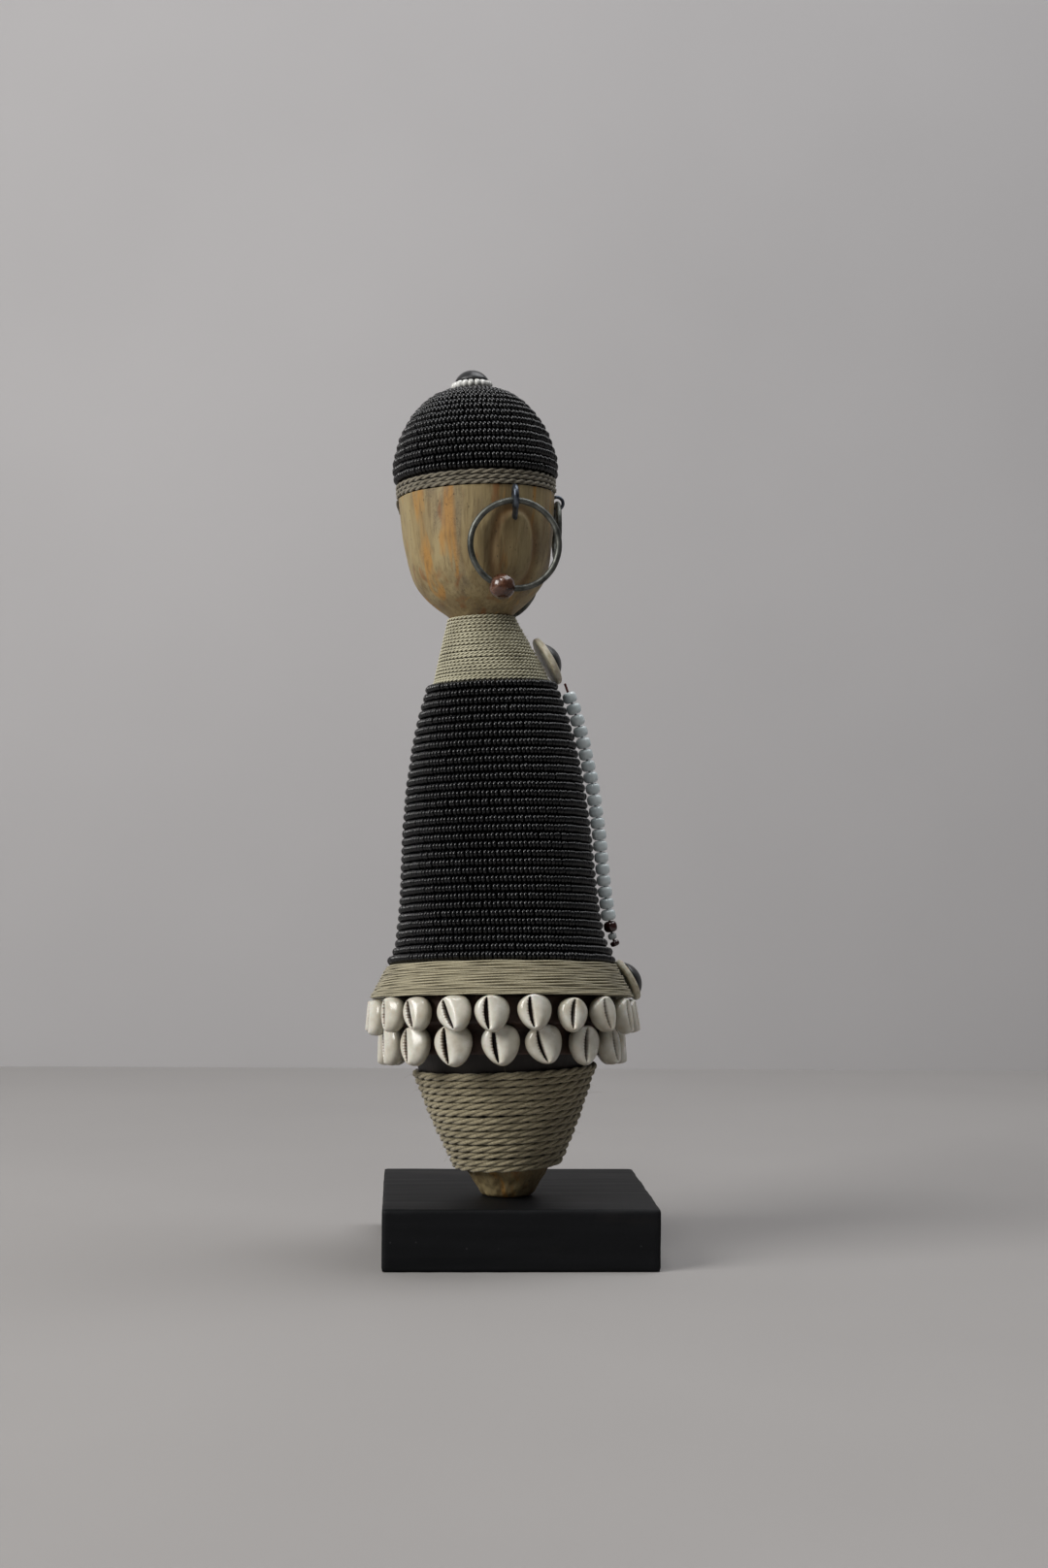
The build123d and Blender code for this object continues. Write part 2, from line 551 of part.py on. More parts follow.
NODES = {
    "stand_block": make_stand(),
    "stand_screw": make_screw(),
    "figure_wood": make_figure(),
    "hip_rope": make_rope(),
    "belt_twine": make_belt(),
    "skirt_backing": make_backing(),
    "upper_cowrie_shells": make_shells(UPPER_ROW),
    "lower_cowrie_shells": make_shells(LOWER_ROW),
    "upper_shell_stitches": make_stitches(UPPER_ROW),
    "lower_shell_stitches": make_stitches(LOWER_ROW),
    "torso_beads": make_torso_beads(),
    "neck_twine": make_neck_twine(),
    "cap_lining": make_cap_lining(),
    "cap_beads": make_cap_beads(),
    "cap_cord_band": make_cap_band(),
    "crown_bead_ring": make_crown_ring(),
    "crown_button": make_crown_button(),
    "chest_disc": make_disc(chest_frame(), CHEST_DISC),
    "chest_button": make_button(chest_frame()),
    "belt_disc": make_disc(belt_frame(), BELT_DISC),
    "belt_button": make_button(belt_frame()),
    "strand_white_beads": Compound(
        [strand_bead(height, STRAND_BEAD_WIDTH, STRAND_BEAD_LENGTH) for height in strand_heights()]
    ),
    "strand_dark_bead": strand_bead(*DARK_BEAD),
    "strand_clear_bead": strand_bead(*CLEAR_BEAD),
    "strand_end_bead": strand_bead(*END_BEAD),
    "strand_thread": make_strand_thread(),
    "right_screw_eye": make_screw_eye(RIGHT_EYE),
    "left_screw_eye": make_screw_eye(LEFT_EYE),
    "right_ear_ring": make_ring(RIGHT_RING),
    "left_ear_ring": make_ring(LEFT_RING),
    "right_ring_bead": make_ring_bead(RIGHT_RING, -RING_BEAD_ANGLE),
    "left_ring_bead": make_ring_bead(LEFT_RING, RING_BEAD_ANGLE),
    "face_ring": make_face_ring(),
    "face_staple": make_staple(),
}

os.makedirs("parts", exist_ok=True)
for name, shape in NODES.items():
    export_step(shape, f"parts/{name}.step")
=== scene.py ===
import math

import bmesh
import bpy
import numpy as np
from mathutils import Matrix, Vector


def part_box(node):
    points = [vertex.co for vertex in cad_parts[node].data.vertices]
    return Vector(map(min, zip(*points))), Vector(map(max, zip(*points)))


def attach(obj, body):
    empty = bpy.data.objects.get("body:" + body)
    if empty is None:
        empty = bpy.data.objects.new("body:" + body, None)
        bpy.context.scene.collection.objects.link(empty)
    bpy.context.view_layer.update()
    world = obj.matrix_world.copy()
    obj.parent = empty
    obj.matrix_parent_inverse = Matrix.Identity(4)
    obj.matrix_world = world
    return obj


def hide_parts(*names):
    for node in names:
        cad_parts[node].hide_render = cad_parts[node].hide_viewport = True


# The looks of the fertility doll: every winding as real turns of cord or strung beads,
# every shell with its toothed slit, and a procedural material on each piece.
# Metres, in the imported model's frame.

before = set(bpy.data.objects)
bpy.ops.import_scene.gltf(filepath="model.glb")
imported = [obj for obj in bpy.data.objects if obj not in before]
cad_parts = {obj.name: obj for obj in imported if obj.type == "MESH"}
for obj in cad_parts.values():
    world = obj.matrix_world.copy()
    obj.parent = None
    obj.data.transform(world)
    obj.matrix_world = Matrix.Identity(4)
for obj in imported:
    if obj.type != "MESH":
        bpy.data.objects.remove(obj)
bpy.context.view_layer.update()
random = np.random.default_rng(7)
MM = 0.001

# The figure's own frames, as the CAD model has them
STAND_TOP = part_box("stand_block")[1].z
FOOT = Vector((-3.0 * MM, -14.0 * MM, STAND_TOP))
FIGURE_LEAN = (-1.0, -2.4, 5.0)  # degrees about X, then Y, then the turn about Z
HEAD_BASE, HEAD_SHIFT = 194.0 * MM, -2.84 * MM
HEAD_LEAN = (0.3, -0.45, 0.0)
SKIRT_BASE, SKIRT_TILT = 65.2 * MM, (-4.5, 2.4, 0.0)
EAR_ANGLE = 66.5


def place(location, degrees):
    """A frame that turns about X, then the new Y, then the new Z, as the CAD model's do."""
    turn = Matrix.Identity(4)
    for axis, angle in zip("XYZ", degrees):
        turn = turn @ Matrix.Rotation(math.radians(angle), 4, axis)
    return Matrix.Translation(location) @ turn


FIGURE = place(FOOT, FIGURE_LEAN)
HEAD = FIGURE @ place(Vector((HEAD_SHIFT, 0, HEAD_BASE)), HEAD_LEAN)
SKIRT = FIGURE @ place(Vector((0, 0, SKIRT_BASE)), SKIRT_TILT)


# ---------------------------------------------------------------- camera and light

def make_camera():
    """A 50 mm camera a little above the doll's middle, turned slightly to its front."""
    yaw, pitch, roll = math.radians(3.133), math.radians(1.589), math.radians(0.557)
    forward = Vector((math.sin(yaw) * math.cos(pitch), math.cos(yaw) * math.cos(pitch), math.sin(pitch)))
    level = forward.cross(Vector((0, 0, 1))).normalized()
    above = level.cross(forward)
    right = level * math.cos(roll) + above * math.sin(roll)
    up = above * math.cos(roll) - level * math.sin(roll)
    data = bpy.data.cameras.new("camera")
    data.lens, data.sensor_width, data.clip_end = 50.0, 36.0, 20.0
    camera = bpy.data.objects.new("camera", data)
    turn = Matrix((right, up, -forward)).transposed().to_4x4()
    camera.matrix_world = Matrix.Translation((-0.03915, -0.74595, 0.13721)) @ turn
    bpy.context.scene.collection.objects.link(camera)
    bpy.context.scene.camera = camera


def area_light(name, location, target, size, watts, colour):
    """A soft square lamp that looks at a target."""
    data = bpy.data.lights.new(name, "AREA")
    data.shape, data.size, data.energy, data.color = "SQUARE", size, watts, colour
    lamp = bpy.data.objects.new(name, data)
    lamp.location = location
    lamp.rotation_euler = (Vector(target) - Vector(location)).to_track_quat("-Z", "Y").to_euler()
    bpy.context.scene.collection.objects.link(lamp)


def make_light():
    """A large window light from the upper left, and a dim surround."""
    area_light("window", (-1.25, -0.75, 0.95), (0, 0, 0.15), 0.9, 26.0, (1.0, 0.985, 0.96))
    area_light("overhead", (0.6, 0.25, 1.7), (0.25, 0.4, 0.3), 1.2, 18.0, (0.97, 0.98, 1.0))
    area_light("glints", (-0.3, -0.8, 1.6), (0, 0, 0.15), 0.3, 4.0, (1.0, 1.0, 1.0))
    world = bpy.data.worlds.new("studio")
    world.use_nodes = True
    back = world.node_tree.nodes["Background"]
    back.inputs["Color"].default_value = (0.85, 0.85, 0.86, 1)
    back.inputs["Strength"].default_value = 0.10
    bpy.context.scene.world = world
    bpy.context.scene.view_settings.view_transform = "Standard"


def make_stage():
    """A plain pale floor with a wall behind."""
    floor_material = plain_stage_material("stage_floor", (0.315, 0.302, 0.295))
    wall_material = plain_stage_material("stage_wall", (0.455, 0.445, 0.450))
    reach, depth, height = 4.0, 0.59, 3.0
    level = [(-reach, -reach, 0), (reach, -reach, 0), (reach, reach, 0), (-reach, reach, 0)]
    upright = [(-reach, depth, 0), (reach, depth, 0), (reach, depth, height), (-reach, depth, height)]
    for name, corners, material in (("floor", level, floor_material), ("wall", upright, wall_material)):
        mesh = bpy.data.meshes.new(name)
        mesh.from_pydata(corners, [], [(0, 1, 2, 3)])
        piece = bpy.data.objects.new(name, mesh)
        mesh.materials.append(material)
        bpy.context.scene.collection.objects.link(piece)


# ---------------------------------------------------------------- materials

class Shader:
    """A Principled material that is built node by node, in the piece's own coordinates."""

    def __init__(self, name, roughness=0.5, metallic=0.0, **sockets):
        self.material = bpy.data.materials.new(name)
        self.material.use_nodes = True
        self.nodes = self.material.node_tree.nodes
        self.links = self.material.node_tree.links
        self.bsdf = self.nodes["Principled BSDF"]
        self.bsdf.inputs["Roughness"].default_value = roughness
        self.bsdf.inputs["Metallic"].default_value = metallic
        for socket, value in sockets.items():
            self.bsdf.inputs[socket.replace("_", " ")].default_value = value
        self.coordinates = self.nodes.new("ShaderNodeTexCoord").outputs["Object"]
        self.bump_before = None

    def mapped(self, scale, shift=(0, 0, 0)):
        """The coordinates, stretched and shifted."""
        node = self.nodes.new("ShaderNodeMapping")
        node.inputs["Scale"].default_value = scale
        node.inputs["Location"].default_value = shift
        self.links.new(self.coordinates, node.inputs["Vector"])
        return node.outputs["Vector"]

    def noise(self, size, detail=4.0, roughness=0.55, stretch=(1, 1, 1), distortion=0.0, shift=(0, 0, 0)):
        """Noise with features of about `size` metres."""
        node = self.nodes.new("ShaderNodeTexNoise")
        node.inputs["Scale"].default_value = 1 / size
        node.inputs["Detail"].default_value = detail
        node.inputs["Roughness"].default_value = roughness
        node.inputs["Distortion"].default_value = distortion
        self.links.new(self.mapped(stretch, shift), node.inputs["Vector"])
        return node.outputs["Fac"]

    def cells(self, size, stretch=(1, 1, 1), feature="F1"):
        """Distance from scattered points about `size` metres apart."""
        node = self.nodes.new("ShaderNodeTexVoronoi")
        node.feature = feature
        node.inputs["Scale"].default_value = 1 / size
        self.links.new(self.mapped(stretch), node.inputs["Vector"])
        return node.outputs["Distance"]

    def ramp(self, value, *stops):
        """A colour ramp; each stop is (position, colour)."""
        node = self.nodes.new("ShaderNodeValToRGB")
        elements = node.color_ramp.elements
        while len(elements) < len(stops):
            elements.new(0.5)
        for element, (position, colour) in zip(elements, stops):
            element.position = position
            element.color = (*colour, 1) if hasattr(colour, "__len__") else (colour, colour, colour, 1)
        self.links.new(value, node.inputs["Fac"])
        return node.outputs["Color"]

    def mix(self, share, first, second, mode="MIX"):
        """First and second colours, blended by a value or by a number."""
        node = self.nodes.new("ShaderNodeMix")
        node.data_type, node.blend_type = "RGBA", mode
        for socket, value in ((node.inputs[0], share), (node.inputs[6], first), (node.inputs[7], second)):
            if hasattr(value, "is_output"):
                self.links.new(value, socket)
            elif hasattr(value, "__len__"):
                socket.default_value = (*value, 1)
            else:
                socket.default_value = value
        return node.outputs[2]

    def math(self, operation, first, second=0.0):
        """A sum or product of values."""
        node = self.nodes.new("ShaderNodeMath")
        node.operation = operation
        for socket, value in zip(node.inputs, (first, second)):
            if hasattr(value, "is_output"):
                self.links.new(value, socket)
            else:
                socket.default_value = value
        return node.outputs[0]

    def attribute(self, name):
        """A number stored on the mesh."""
        node = self.nodes.new("ShaderNodeAttribute")
        node.attribute_name = name
        return node.outputs["Fac"]

    def colour(self, value):
        self.links.new(value, self.bsdf.inputs["Base Color"])

    def roughness(self, value, low, high):
        """Roughness from low to high, as a value goes from 0 to 1."""
        node = self.nodes.new("ShaderNodeMapRange")
        node.inputs["To Min"].default_value, node.inputs["To Max"].default_value = low, high
        self.links.new(value, node.inputs["Value"])
        self.links.new(node.outputs["Result"], self.bsdf.inputs["Roughness"])

    def bump(self, value, height, strength=1.0):
        """Adds relief of about `height` metres."""
        node = self.nodes.new("ShaderNodeBump")
        node.inputs["Distance"].default_value = height
        node.inputs["Strength"].default_value = strength
        self.links.new(value, node.inputs["Height"])
        if self.bump_before:
            self.links.new(self.bump_before, node.inputs["Normal"])
        self.bump_before = node.outputs["Normal"]
        self.links.new(self.bump_before, self.bsdf.inputs["Normal"])


def plain_stage_material(name, colour):
    shader = Shader(name, roughness=0.85)
    cloudy = shader.noise(0.35, detail=3)
    shader.colour(shader.ramp(cloudy, (0.3, [c * 0.95 for c in colour]), (0.7, [c * 1.04 for c in colour])))
    return shader.material


def wood_material():
    """Pale oiled softwood: upright grain, ochre and rust streaks, grey blotches, pores and small checks, with
    painted shade in the ear grooves and on the wood hidden under the windings.
    """
    shader = Shader("carved_wood", roughness=0.5, Specular_IOR_Level=0.3)
    grain = shader.noise(0.009, detail=8, roughness=0.65, stretch=(1, 1, 0.08), distortion=0.5)
    fine = shader.noise(0.0011, detail=3, stretch=(1, 1, 0.10))
    blotches = shader.noise(0.016, detail=5, stretch=(1, 1, 0.55), distortion=0.8)
    ochre = shader.noise(0.0075, detail=2, stretch=(1, 1, 0.13), distortion=0.9, shift=(0.31, 0.12, 0.05))
    rust = shader.noise(0.0060, detail=2, stretch=(1, 1, 0.20), distortion=0.7, shift=(0.77, 0.41, 0.22))
    base = shader.ramp(
        grain,
        (0.30, (0.170, 0.112, 0.048)),
        (0.44, (0.255, 0.190, 0.092)),
        (0.58, (0.330, 0.262, 0.135)),
        (0.74, (0.240, 0.190, 0.108)),
    )
    base = shader.mix(shader.ramp(blotches, (0.50, 0.0), (0.66, 0.70)), base, (0.150, 0.112, 0.070))
    base = shader.mix(shader.ramp(ochre, (0.57, 0.0), (0.66, 0.75)), base, (0.400, 0.200, 0.045))
    base = shader.mix(shader.ramp(rust, (0.60, 0.0), (0.70, 0.60)), base, (0.230, 0.080, 0.020))
    base = shader.mix(shader.ramp(fine, (0.50, 0.0), (0.68, 0.38)), base, (0.105, 0.066, 0.032))
    # Painted shade: orange-brown darkening in the ear's outlining groove.
    base = shader.mix(shader.attribute("groove_shade"), base, (0.165, 0.072, 0.022))
    pores = shader.cells(0.0022, stretch=(1, 1, 0.5))
    base = shader.mix(shader.ramp(pores, (0.06, 0.65), (0.12, 0.0)), base, (0.040, 0.024, 0.013))
    checks = shader.noise(0.0050, detail=7, roughness=0.75, stretch=(0.6, 0.6, 1.0), distortion=1.6)
    cracked = shader.ramp(checks, (0.485, 0.0), (0.500, 0.55), (0.515, 0.0))
    cracked = shader.math("MULTIPLY", cracked, shader.ramp(blotches, (0.50, 0.0), (0.60, 1.0)))
    base = shader.mix(cracked, base, (0.030, 0.018, 0.010))
    # Painted shade: near-black on the core under the windings and the dome under the cap's beads, and a little
    # darker toward the foot's bottom.
    base = shader.mix(shader.attribute("painted_shade"), base, (0.012, 0.009, 0.007))
    shader.colour(base)
    shader.roughness(grain, 0.45, 0.66)
    shader.bump(grain, 0.00025, 0.6)
    shader.bump(fine, 0.00014, 0.9)
    shader.bump(shader.noise(0.0010, detail=2, stretch=(0.25, 0.25, 1)), 0.00006, 0.6)
    return shader.material


def black_wood_material():
    """Open-grained wood stained matte black, with saw marks and dust on its edges."""
    shader = Shader("stained_stand", roughness=0.6, Specular_IOR_Level=0.2)
    grain = shader.noise(0.004, detail=6, stretch=(0.08, 1, 1))
    saw = shader.noise(0.0016, detail=2, stretch=(1, 0.04, 1))
    dust = shader.cells(0.006)
    base = shader.ramp(grain, (0.35, (0.0010, 0.0015, 0.0023)), (0.70, (0.0034, 0.0038, 0.0050)))
    base = shader.mix(shader.ramp(dust, (0.03, 0.35), (0.06, 0.0)), base, (0.06, 0.06, 0.065))
    worn = shader.noise(0.020, detail=5, stretch=(0.4, 1, 1))
    base = shader.mix(shader.ramp(worn, (0.58, 0.0), (0.76, 0.4)), base, (0.020, 0.016, 0.014))
    shader.colour(base)
    shader.roughness(grain, 0.50, 0.72)
    shader.bump(grain, 0.00015, 0.7)
    shader.bump(saw, 0.00010, 0.6)
    return shader.material


def fibre_material(name, dark, light, hair=0.0006, roughness=0.85, sheen=0.25):
    """Twisted plant fibre: fine hairs in two tones, with soiled patches, and painted shade between the strands."""
    shader = Shader(name, roughness=roughness, Sheen_Weight=sheen, Specular_IOR_Level=0.25)
    hairs = shader.noise(hair, detail=4, stretch=(1, 1, 2.2), distortion=0.8)
    soiled = shader.noise(0.012, detail=4)
    base = shader.ramp(hairs, (0.32, dark), (0.66, light))
    shade = [c * 0.62 for c in dark]
    base = shader.mix(shader.ramp(soiled, (0.48, 0.0), (0.72, 0.55)), base, shade)
    # Painted shade: the cord is darkened where the mesh's groove number is high, between strands and under windings.
    depth = shader.attribute("groove_shade")
    base = shader.mix(shader.math("MULTIPLY", depth, 0.75), base, [c * 0.28 for c in dark])
    shader.colour(base)
    shader.bump(hairs, hair * 0.35, 0.9)
    return shader.material


def glass_bead_material(name, colour, pale, roughness=0.12, uneven=0.5):
    """Opaque pressed glass with a slightly uneven polish."""
    shader = Shader(name, roughness=roughness, Coat_Weight=0.4, Coat_Roughness=0.06, IOR=1.52)
    tone = shader.noise(0.004, detail=2)
    shader.colour(shader.ramp(tone, (0.40, colour), (0.65, pale)))
    polish = shader.noise(0.0015, detail=2)
    shader.roughness(polish, roughness * (1 - uneven), roughness * (1 + uneven))
    shader.bump(polish, 0.00003, 0.5)
    return shader.material


def black_bead_material():
    """Shiny black glass, each bead a slightly different blue-black."""
    shader = Shader("black_glass", roughness=0.14, IOR=1.5, Specular_IOR_Level=0.42)
    tone = shader.attribute("tone")
    base = shader.ramp(
        tone,
        (0.0, (0.0006, 0.0007, 0.0010)),
        (0.8, (0.0016, 0.0019, 0.0026)),
        (1.0, (0.005, 0.0055, 0.0065)),
    )
    shader.colour(base)
    shader.roughness(shader.noise(0.0012, detail=2), 0.06, 0.15)
    shader.bump(shader.noise(0.0008, detail=2), 0.00003, 0.5)
    return shader.material


def shell_material():
    """Glossy cream shell, browner at its slit, with dark gaps between the teeth; the slit itself is painted
    near-black shade, and the rim and back are darker, partly a yellowish rim tint and partly painted shade.
    """
    shader = Shader(
        "cowrie_shell", roughness=0.24, Coat_Weight=0.35, Coat_Roughness=0.12, Subsurface_Weight=0.08
    )
    shader.bsdf.inputs["Subsurface Scale"].default_value = 0.0015
    tone = shader.noise(0.006, detail=4)
    base = shader.ramp(
        tone,
        (0.30, (0.50, 0.46, 0.37)),
        (0.55, (0.66, 0.64, 0.56)),
        (0.75, (0.72, 0.71, 0.66)),
    )
    # Partly the shell's yellowish rim tint, partly painted shade toward the rim and on the back.
    base = shader.mix(shader.math("MULTIPLY", shader.attribute("rim"), 0.7), base, (0.30, 0.27, 0.20))
    base = shader.mix(shader.attribute("tooth"), base, (0.115, 0.045, 0.016))
    # Painted shade: the slit is painted near-black, the shade inside the shell's opening.
    base = shader.mix(shader.attribute("slit"), base, (0.016, 0.006, 0.004))
    shader.colour(base)
    shader.roughness(tone, 0.18, 0.34)
    shader.bump(shader.noise(0.0020, detail=4), 0.00006, 0.5)
    return shader.material


def leather_material():
    """Old dark red-brown leather."""
    shader = Shader("skirt_leather", roughness=0.65)
    grain = shader.cells(0.0009)
    tone = shader.noise(0.006, detail=5)
    shader.colour(shader.ramp(tone, (0.30, (0.016, 0.009, 0.006)), (0.70, (0.055, 0.026, 0.016))))
    shader.roughness(tone, 0.5, 0.8)
    shader.bump(grain, 0.00012, 0.8)
    return shader.material


def metal_material(name, dark, light, roughness=0.42):
    """Oxidised iron wire with a few rubbed bright spots."""
    shader = Shader(name, roughness=roughness, metallic=0.85)
    patches = shader.noise(0.0035, detail=5)
    scratches = shader.noise(0.0006, detail=3, stretch=(1, 1, 0.3))
    base = shader.ramp(patches, (0.35, dark), (0.62, light), (0.80, [c * 1.5 for c in light]))
    base = shader.mix(shader.ramp(scratches, (0.60, 0.0), (0.72, 0.4)), base, (0.095, 0.070, 0.050))
    shader.colour(base)
    shader.roughness(patches, roughness + 0.16, roughness - 0.10)
    shader.bump(patches, 0.00012, 0.5)
    shader.bump(scratches, 0.00004, 0.5)
    return shader.material


def button_material():
    """Worn black horn, satin, with fine scratches."""
    shader = Shader("black_button", roughness=0.38, Coat_Weight=0.15, Coat_Roughness=0.3)
    tone = shader.noise(0.003, detail=4)
    shader.colour(shader.ramp(tone, (0.35, (0.0055, 0.0060, 0.0070)), (0.72, (0.017, 0.017, 0.018))))
    shader.roughness(tone, 0.30, 0.52)
    shader.bump(shader.noise(0.0005, detail=3, stretch=(1, 0.2, 1)), 0.00003, 0.6)
    return shader.material


def bone_material():
    """Polished bone disc with faint darker fibres."""
    shader = Shader("bone_disc", roughness=0.4, Subsurface_Weight=0.06)
    shader.bsdf.inputs["Subsurface Scale"].default_value = 0.001
    fibres = shader.noise(0.0016, detail=5, stretch=(1, 0.25, 1))
    shader.colour(shader.ramp(fibres, (0.28, (0.36, 0.31, 0.20)), (0.60, (0.58, 0.54, 0.43))))
    shader.roughness(fibres, 0.32, 0.5)
    shader.bump(fibres, 0.00005, 0.5)
    return shader.material


def brown_bead_material():
    """Dark amber-brown glass with pale flecks."""
    shader = Shader("brown_glass", roughness=0.2, Coat_Weight=0.5, Coat_Roughness=0.08)
    tone = shader.noise(0.004, detail=5, distortion=1.2)
    base = shader.ramp(
        tone,
        (0.30, (0.022, 0.007, 0.004)),
        (0.55, (0.075, 0.027, 0.013)),
        (0.75, (0.150, 0.075, 0.045)),
    )
    flecks = shader.cells(0.0022)
    base = shader.mix(shader.ramp(flecks, (0.06, 0.5), (0.14, 0.0)), base, (0.30, 0.24, 0.20))
    shader.colour(base)
    shader.roughness(tone, 0.14, 0.35)
    shader.bump(tone, 0.00012, 0.4)
    return shader.material


# ---------------------------------------------------------------- meshes

def make_piece(name, points, faces, material, node, body="figure", numbers=None):
    """A smooth mesh piece that rides on a body and stands for a CAD node."""
    mesh = bpy.data.meshes.new(name)
    mesh.from_pydata(np.asarray(points).tolist(), [], [[int(corner) for corner in face] for face in faces])
    mesh.polygons.foreach_set("use_smooth", [True] * len(mesh.polygons))
    for key, values in (numbers or {}).items():
        mesh.attributes.new(key, "FLOAT", "POINT").data.foreach_set("value", np.asarray(values, np.float32))
    mesh.update()
    mesh.materials.append(material)
    piece = bpy.data.objects.new(name, mesh)
    bpy.context.scene.collection.objects.link(piece)
    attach(piece, body)
    if node:
        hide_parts(node)
    return piece


def joined(parts):
    """Several (points, faces) meshes as one."""
    points, faces, start = [], [], 0
    for some_points, some_faces in parts:
        points.append(some_points)
        faces += [[corner + start for corner in face] for face in some_faces]
        start += len(some_points)
    return np.concatenate(points), faces


def moved(points, base):
    """Points taken from a frame's own coordinates into the model's."""
    matrix = np.array(base)
    return np.asarray(points) @ matrix[:3, :3].T + matrix[:3, 3]


def grid_faces(rings, sides, ends=True, closed=False):
    """The faces between rows of points, each row a ring of `sides`, with a face on each end."""
    faces = []
    for row in range(rings if closed else rings - 1):
        following = (row + 1) % rings
        for side in range(sides):
            beside = (side + 1) % sides
            faces.append(
                (row * sides + side, row * sides + beside, following * sides + beside, following * sides + side)
            )
    if ends and not closed:
        faces.append(list(range(sides))[::-1])
        faces.append([(rings - 1) * sides + side for side in range(sides)])
    return faces


def lathe(profile, sides):
    """A turned mesh about Z from (radius, height) points, low to high, with flat ends."""
    angles = np.arange(sides) / sides * 2 * math.pi
    rows = [
        np.stack([radius * np.cos(angles), radius * np.sin(angles), np.full(sides, height)], 1)
        for radius, height in profile
    ]
    return np.concatenate(rows), grid_faces(len(rows), sides)


def turned_ring(profile, sides):
    """A mesh turned about Z from a closed outline of (radius, height) points."""
    angles = np.arange(sides) / sides * 2 * math.pi
    rows = [
        np.stack([radius * np.cos(angles), radius * np.sin(angles), np.full(sides, height)], 1)
        for radius, height in profile
    ]
    return np.concatenate(rows), grid_faces(len(rows), sides, closed=True)


def path_frames(path, closed=False):
    """Tangent, sideways and upright directions along a path that isn't vertical."""
    tangents = np.roll(path, -1, 0) - np.roll(path, 1, 0) if closed else np.gradient(path, axis=0)
    tangents /= np.linalg.norm(tangents, axis=1, keepdims=True)
    side = np.cross(tangents, (0.0, 0.0, 1.0))
    side /= np.linalg.norm(side, axis=1, keepdims=True)
    return tangents, side, np.cross(side, tangents)


def tube(path, across, normals, radius, sides, closed=False):
    """A round tube along a path, given two directions across it at each point."""
    angles = np.arange(sides) / sides * 2 * math.pi
    radii = np.broadcast_to(radius, len(path))[:, None, None]
    ring = np.cos(angles)[None, :, None] * across[:, None, :]
    ring = ring + np.sin(angles)[None, :, None] * normals[:, None, :]
    points = (path[:, None, :] + radii * ring).reshape(-1, 3)
    return points, grid_faces(len(path), sides, closed=closed)


def twisted_cord(path, strands, diameter, lay, sides):
    """Strands laid round each other along a path, and how deep between them each point lies, which sets its painted
    shade.
    """
    tangents, side, upright = path_frames(path)
    along = np.concatenate([[0], np.cumsum(np.linalg.norm(np.diff(path, axis=0), axis=1))])
    radius = diameter / 2 / (1 + 1 / math.sin(math.pi / strands)) * STRAND_SQUEEZE
    offset = diameter / 2 - radius
    parts, groove_shades = [], []
    angles = np.arange(sides) / sides * 2 * math.pi
    for strand in range(strands):
        turn = (along / lay + strand / strands) * 2 * math.pi
        out = np.cos(turn)[:, None] * side + np.sin(turn)[:, None] * upright
        parts.append(tube(path + offset * out, out, np.cross(tangents, out), radius, sides))
        # Painted shade: most where a strand turns in toward the others.
        groove_shades.append(np.tile(np.clip(0.35 - 0.75 * np.cos(angles), 0, 1), len(path)))
    points, faces = joined(parts)
    return points, faces, np.concatenate(groove_shades)


def winding_path(axis_and_radius, low, high, turns, step, wobble):
    """A cord's middle as it winds upward, beginning and ending level on the far side."""
    middle_radius = axis_and_radius((low + high) / 2)[2]
    count = int(turns * 2 * math.pi * middle_radius / step)
    turned_by = np.linspace(0, turns, count)
    pitch = (high - low) / turns
    heights = np.clip(low + pitch * turned_by, low + pitch / 2, high - pitch / 2)
    knots = np.arange(int(turns * WOBBLES_A_TURN) + 2)
    up_drift = np.interp(turned_by * WOBBLES_A_TURN, knots, random.normal(0, wobble, len(knots)))
    out_drift = np.interp(turned_by * WOBBLES_A_TURN, knots, random.normal(0, wobble, len(knots)))
    angles = math.pi / 2 + turned_by * 2 * math.pi
    places = np.array([axis_and_radius(height) for height in heights])
    reach = places[:, 2] + out_drift
    return np.stack(
        [places[:, 0] + reach * np.cos(angles), places[:, 1] + reach * np.sin(angles), heights + up_drift], 1
    )


def stray_hairs(points, count, length, radius):
    """Thin fibres that stand out from a winding, each bent once."""
    centre = points.mean(0)
    parts = []
    for start in points[random.integers(0, len(points), count)]:
        outward = (start - centre) * (1, 1, 0)
        outward /= np.linalg.norm(outward)
        first = outward + random.normal(0, 0.8, 3)
        second = first + random.normal(0, 0.7, 3) - (0, 0, 0.3)
        reach = length * random.uniform(0.4, 1.0) / 3
        path = np.cumsum([start, first * reach, (first + second) / 2 * reach, second * reach], axis=0)
        _, side, upright = path_frames(path)
        parts.append(tube(path, side, upright, radius * np.array([1.0, 0.9, 0.7, 0.3]), 3))
    return joined(parts)


def wound_piece(name, base, outline, low, high, turns, cord, material, node, step, wobble, hairs):
    """A cord wound round one of the figure's frames. cord is (strands, diameter, lay, sides)."""
    strands, diameter, lay, sides = cord
    path = winding_path(outline, low, high, turns, step, wobble)
    points, faces, groove_shades = twisted_cord(path, strands, diameter, lay, sides)
    hair_points, hair_faces = stray_hairs(path, *hairs)
    points, faces = joined([(points, faces), (hair_points, hair_faces)])
    groove_shades = np.concatenate([groove_shades, np.zeros(len(hair_points))])
    return make_piece(name, moved(points, base), faces, material, node, numbers={"groove_shade": groove_shades})


# ---------------------------------------------------------------- strings of beads

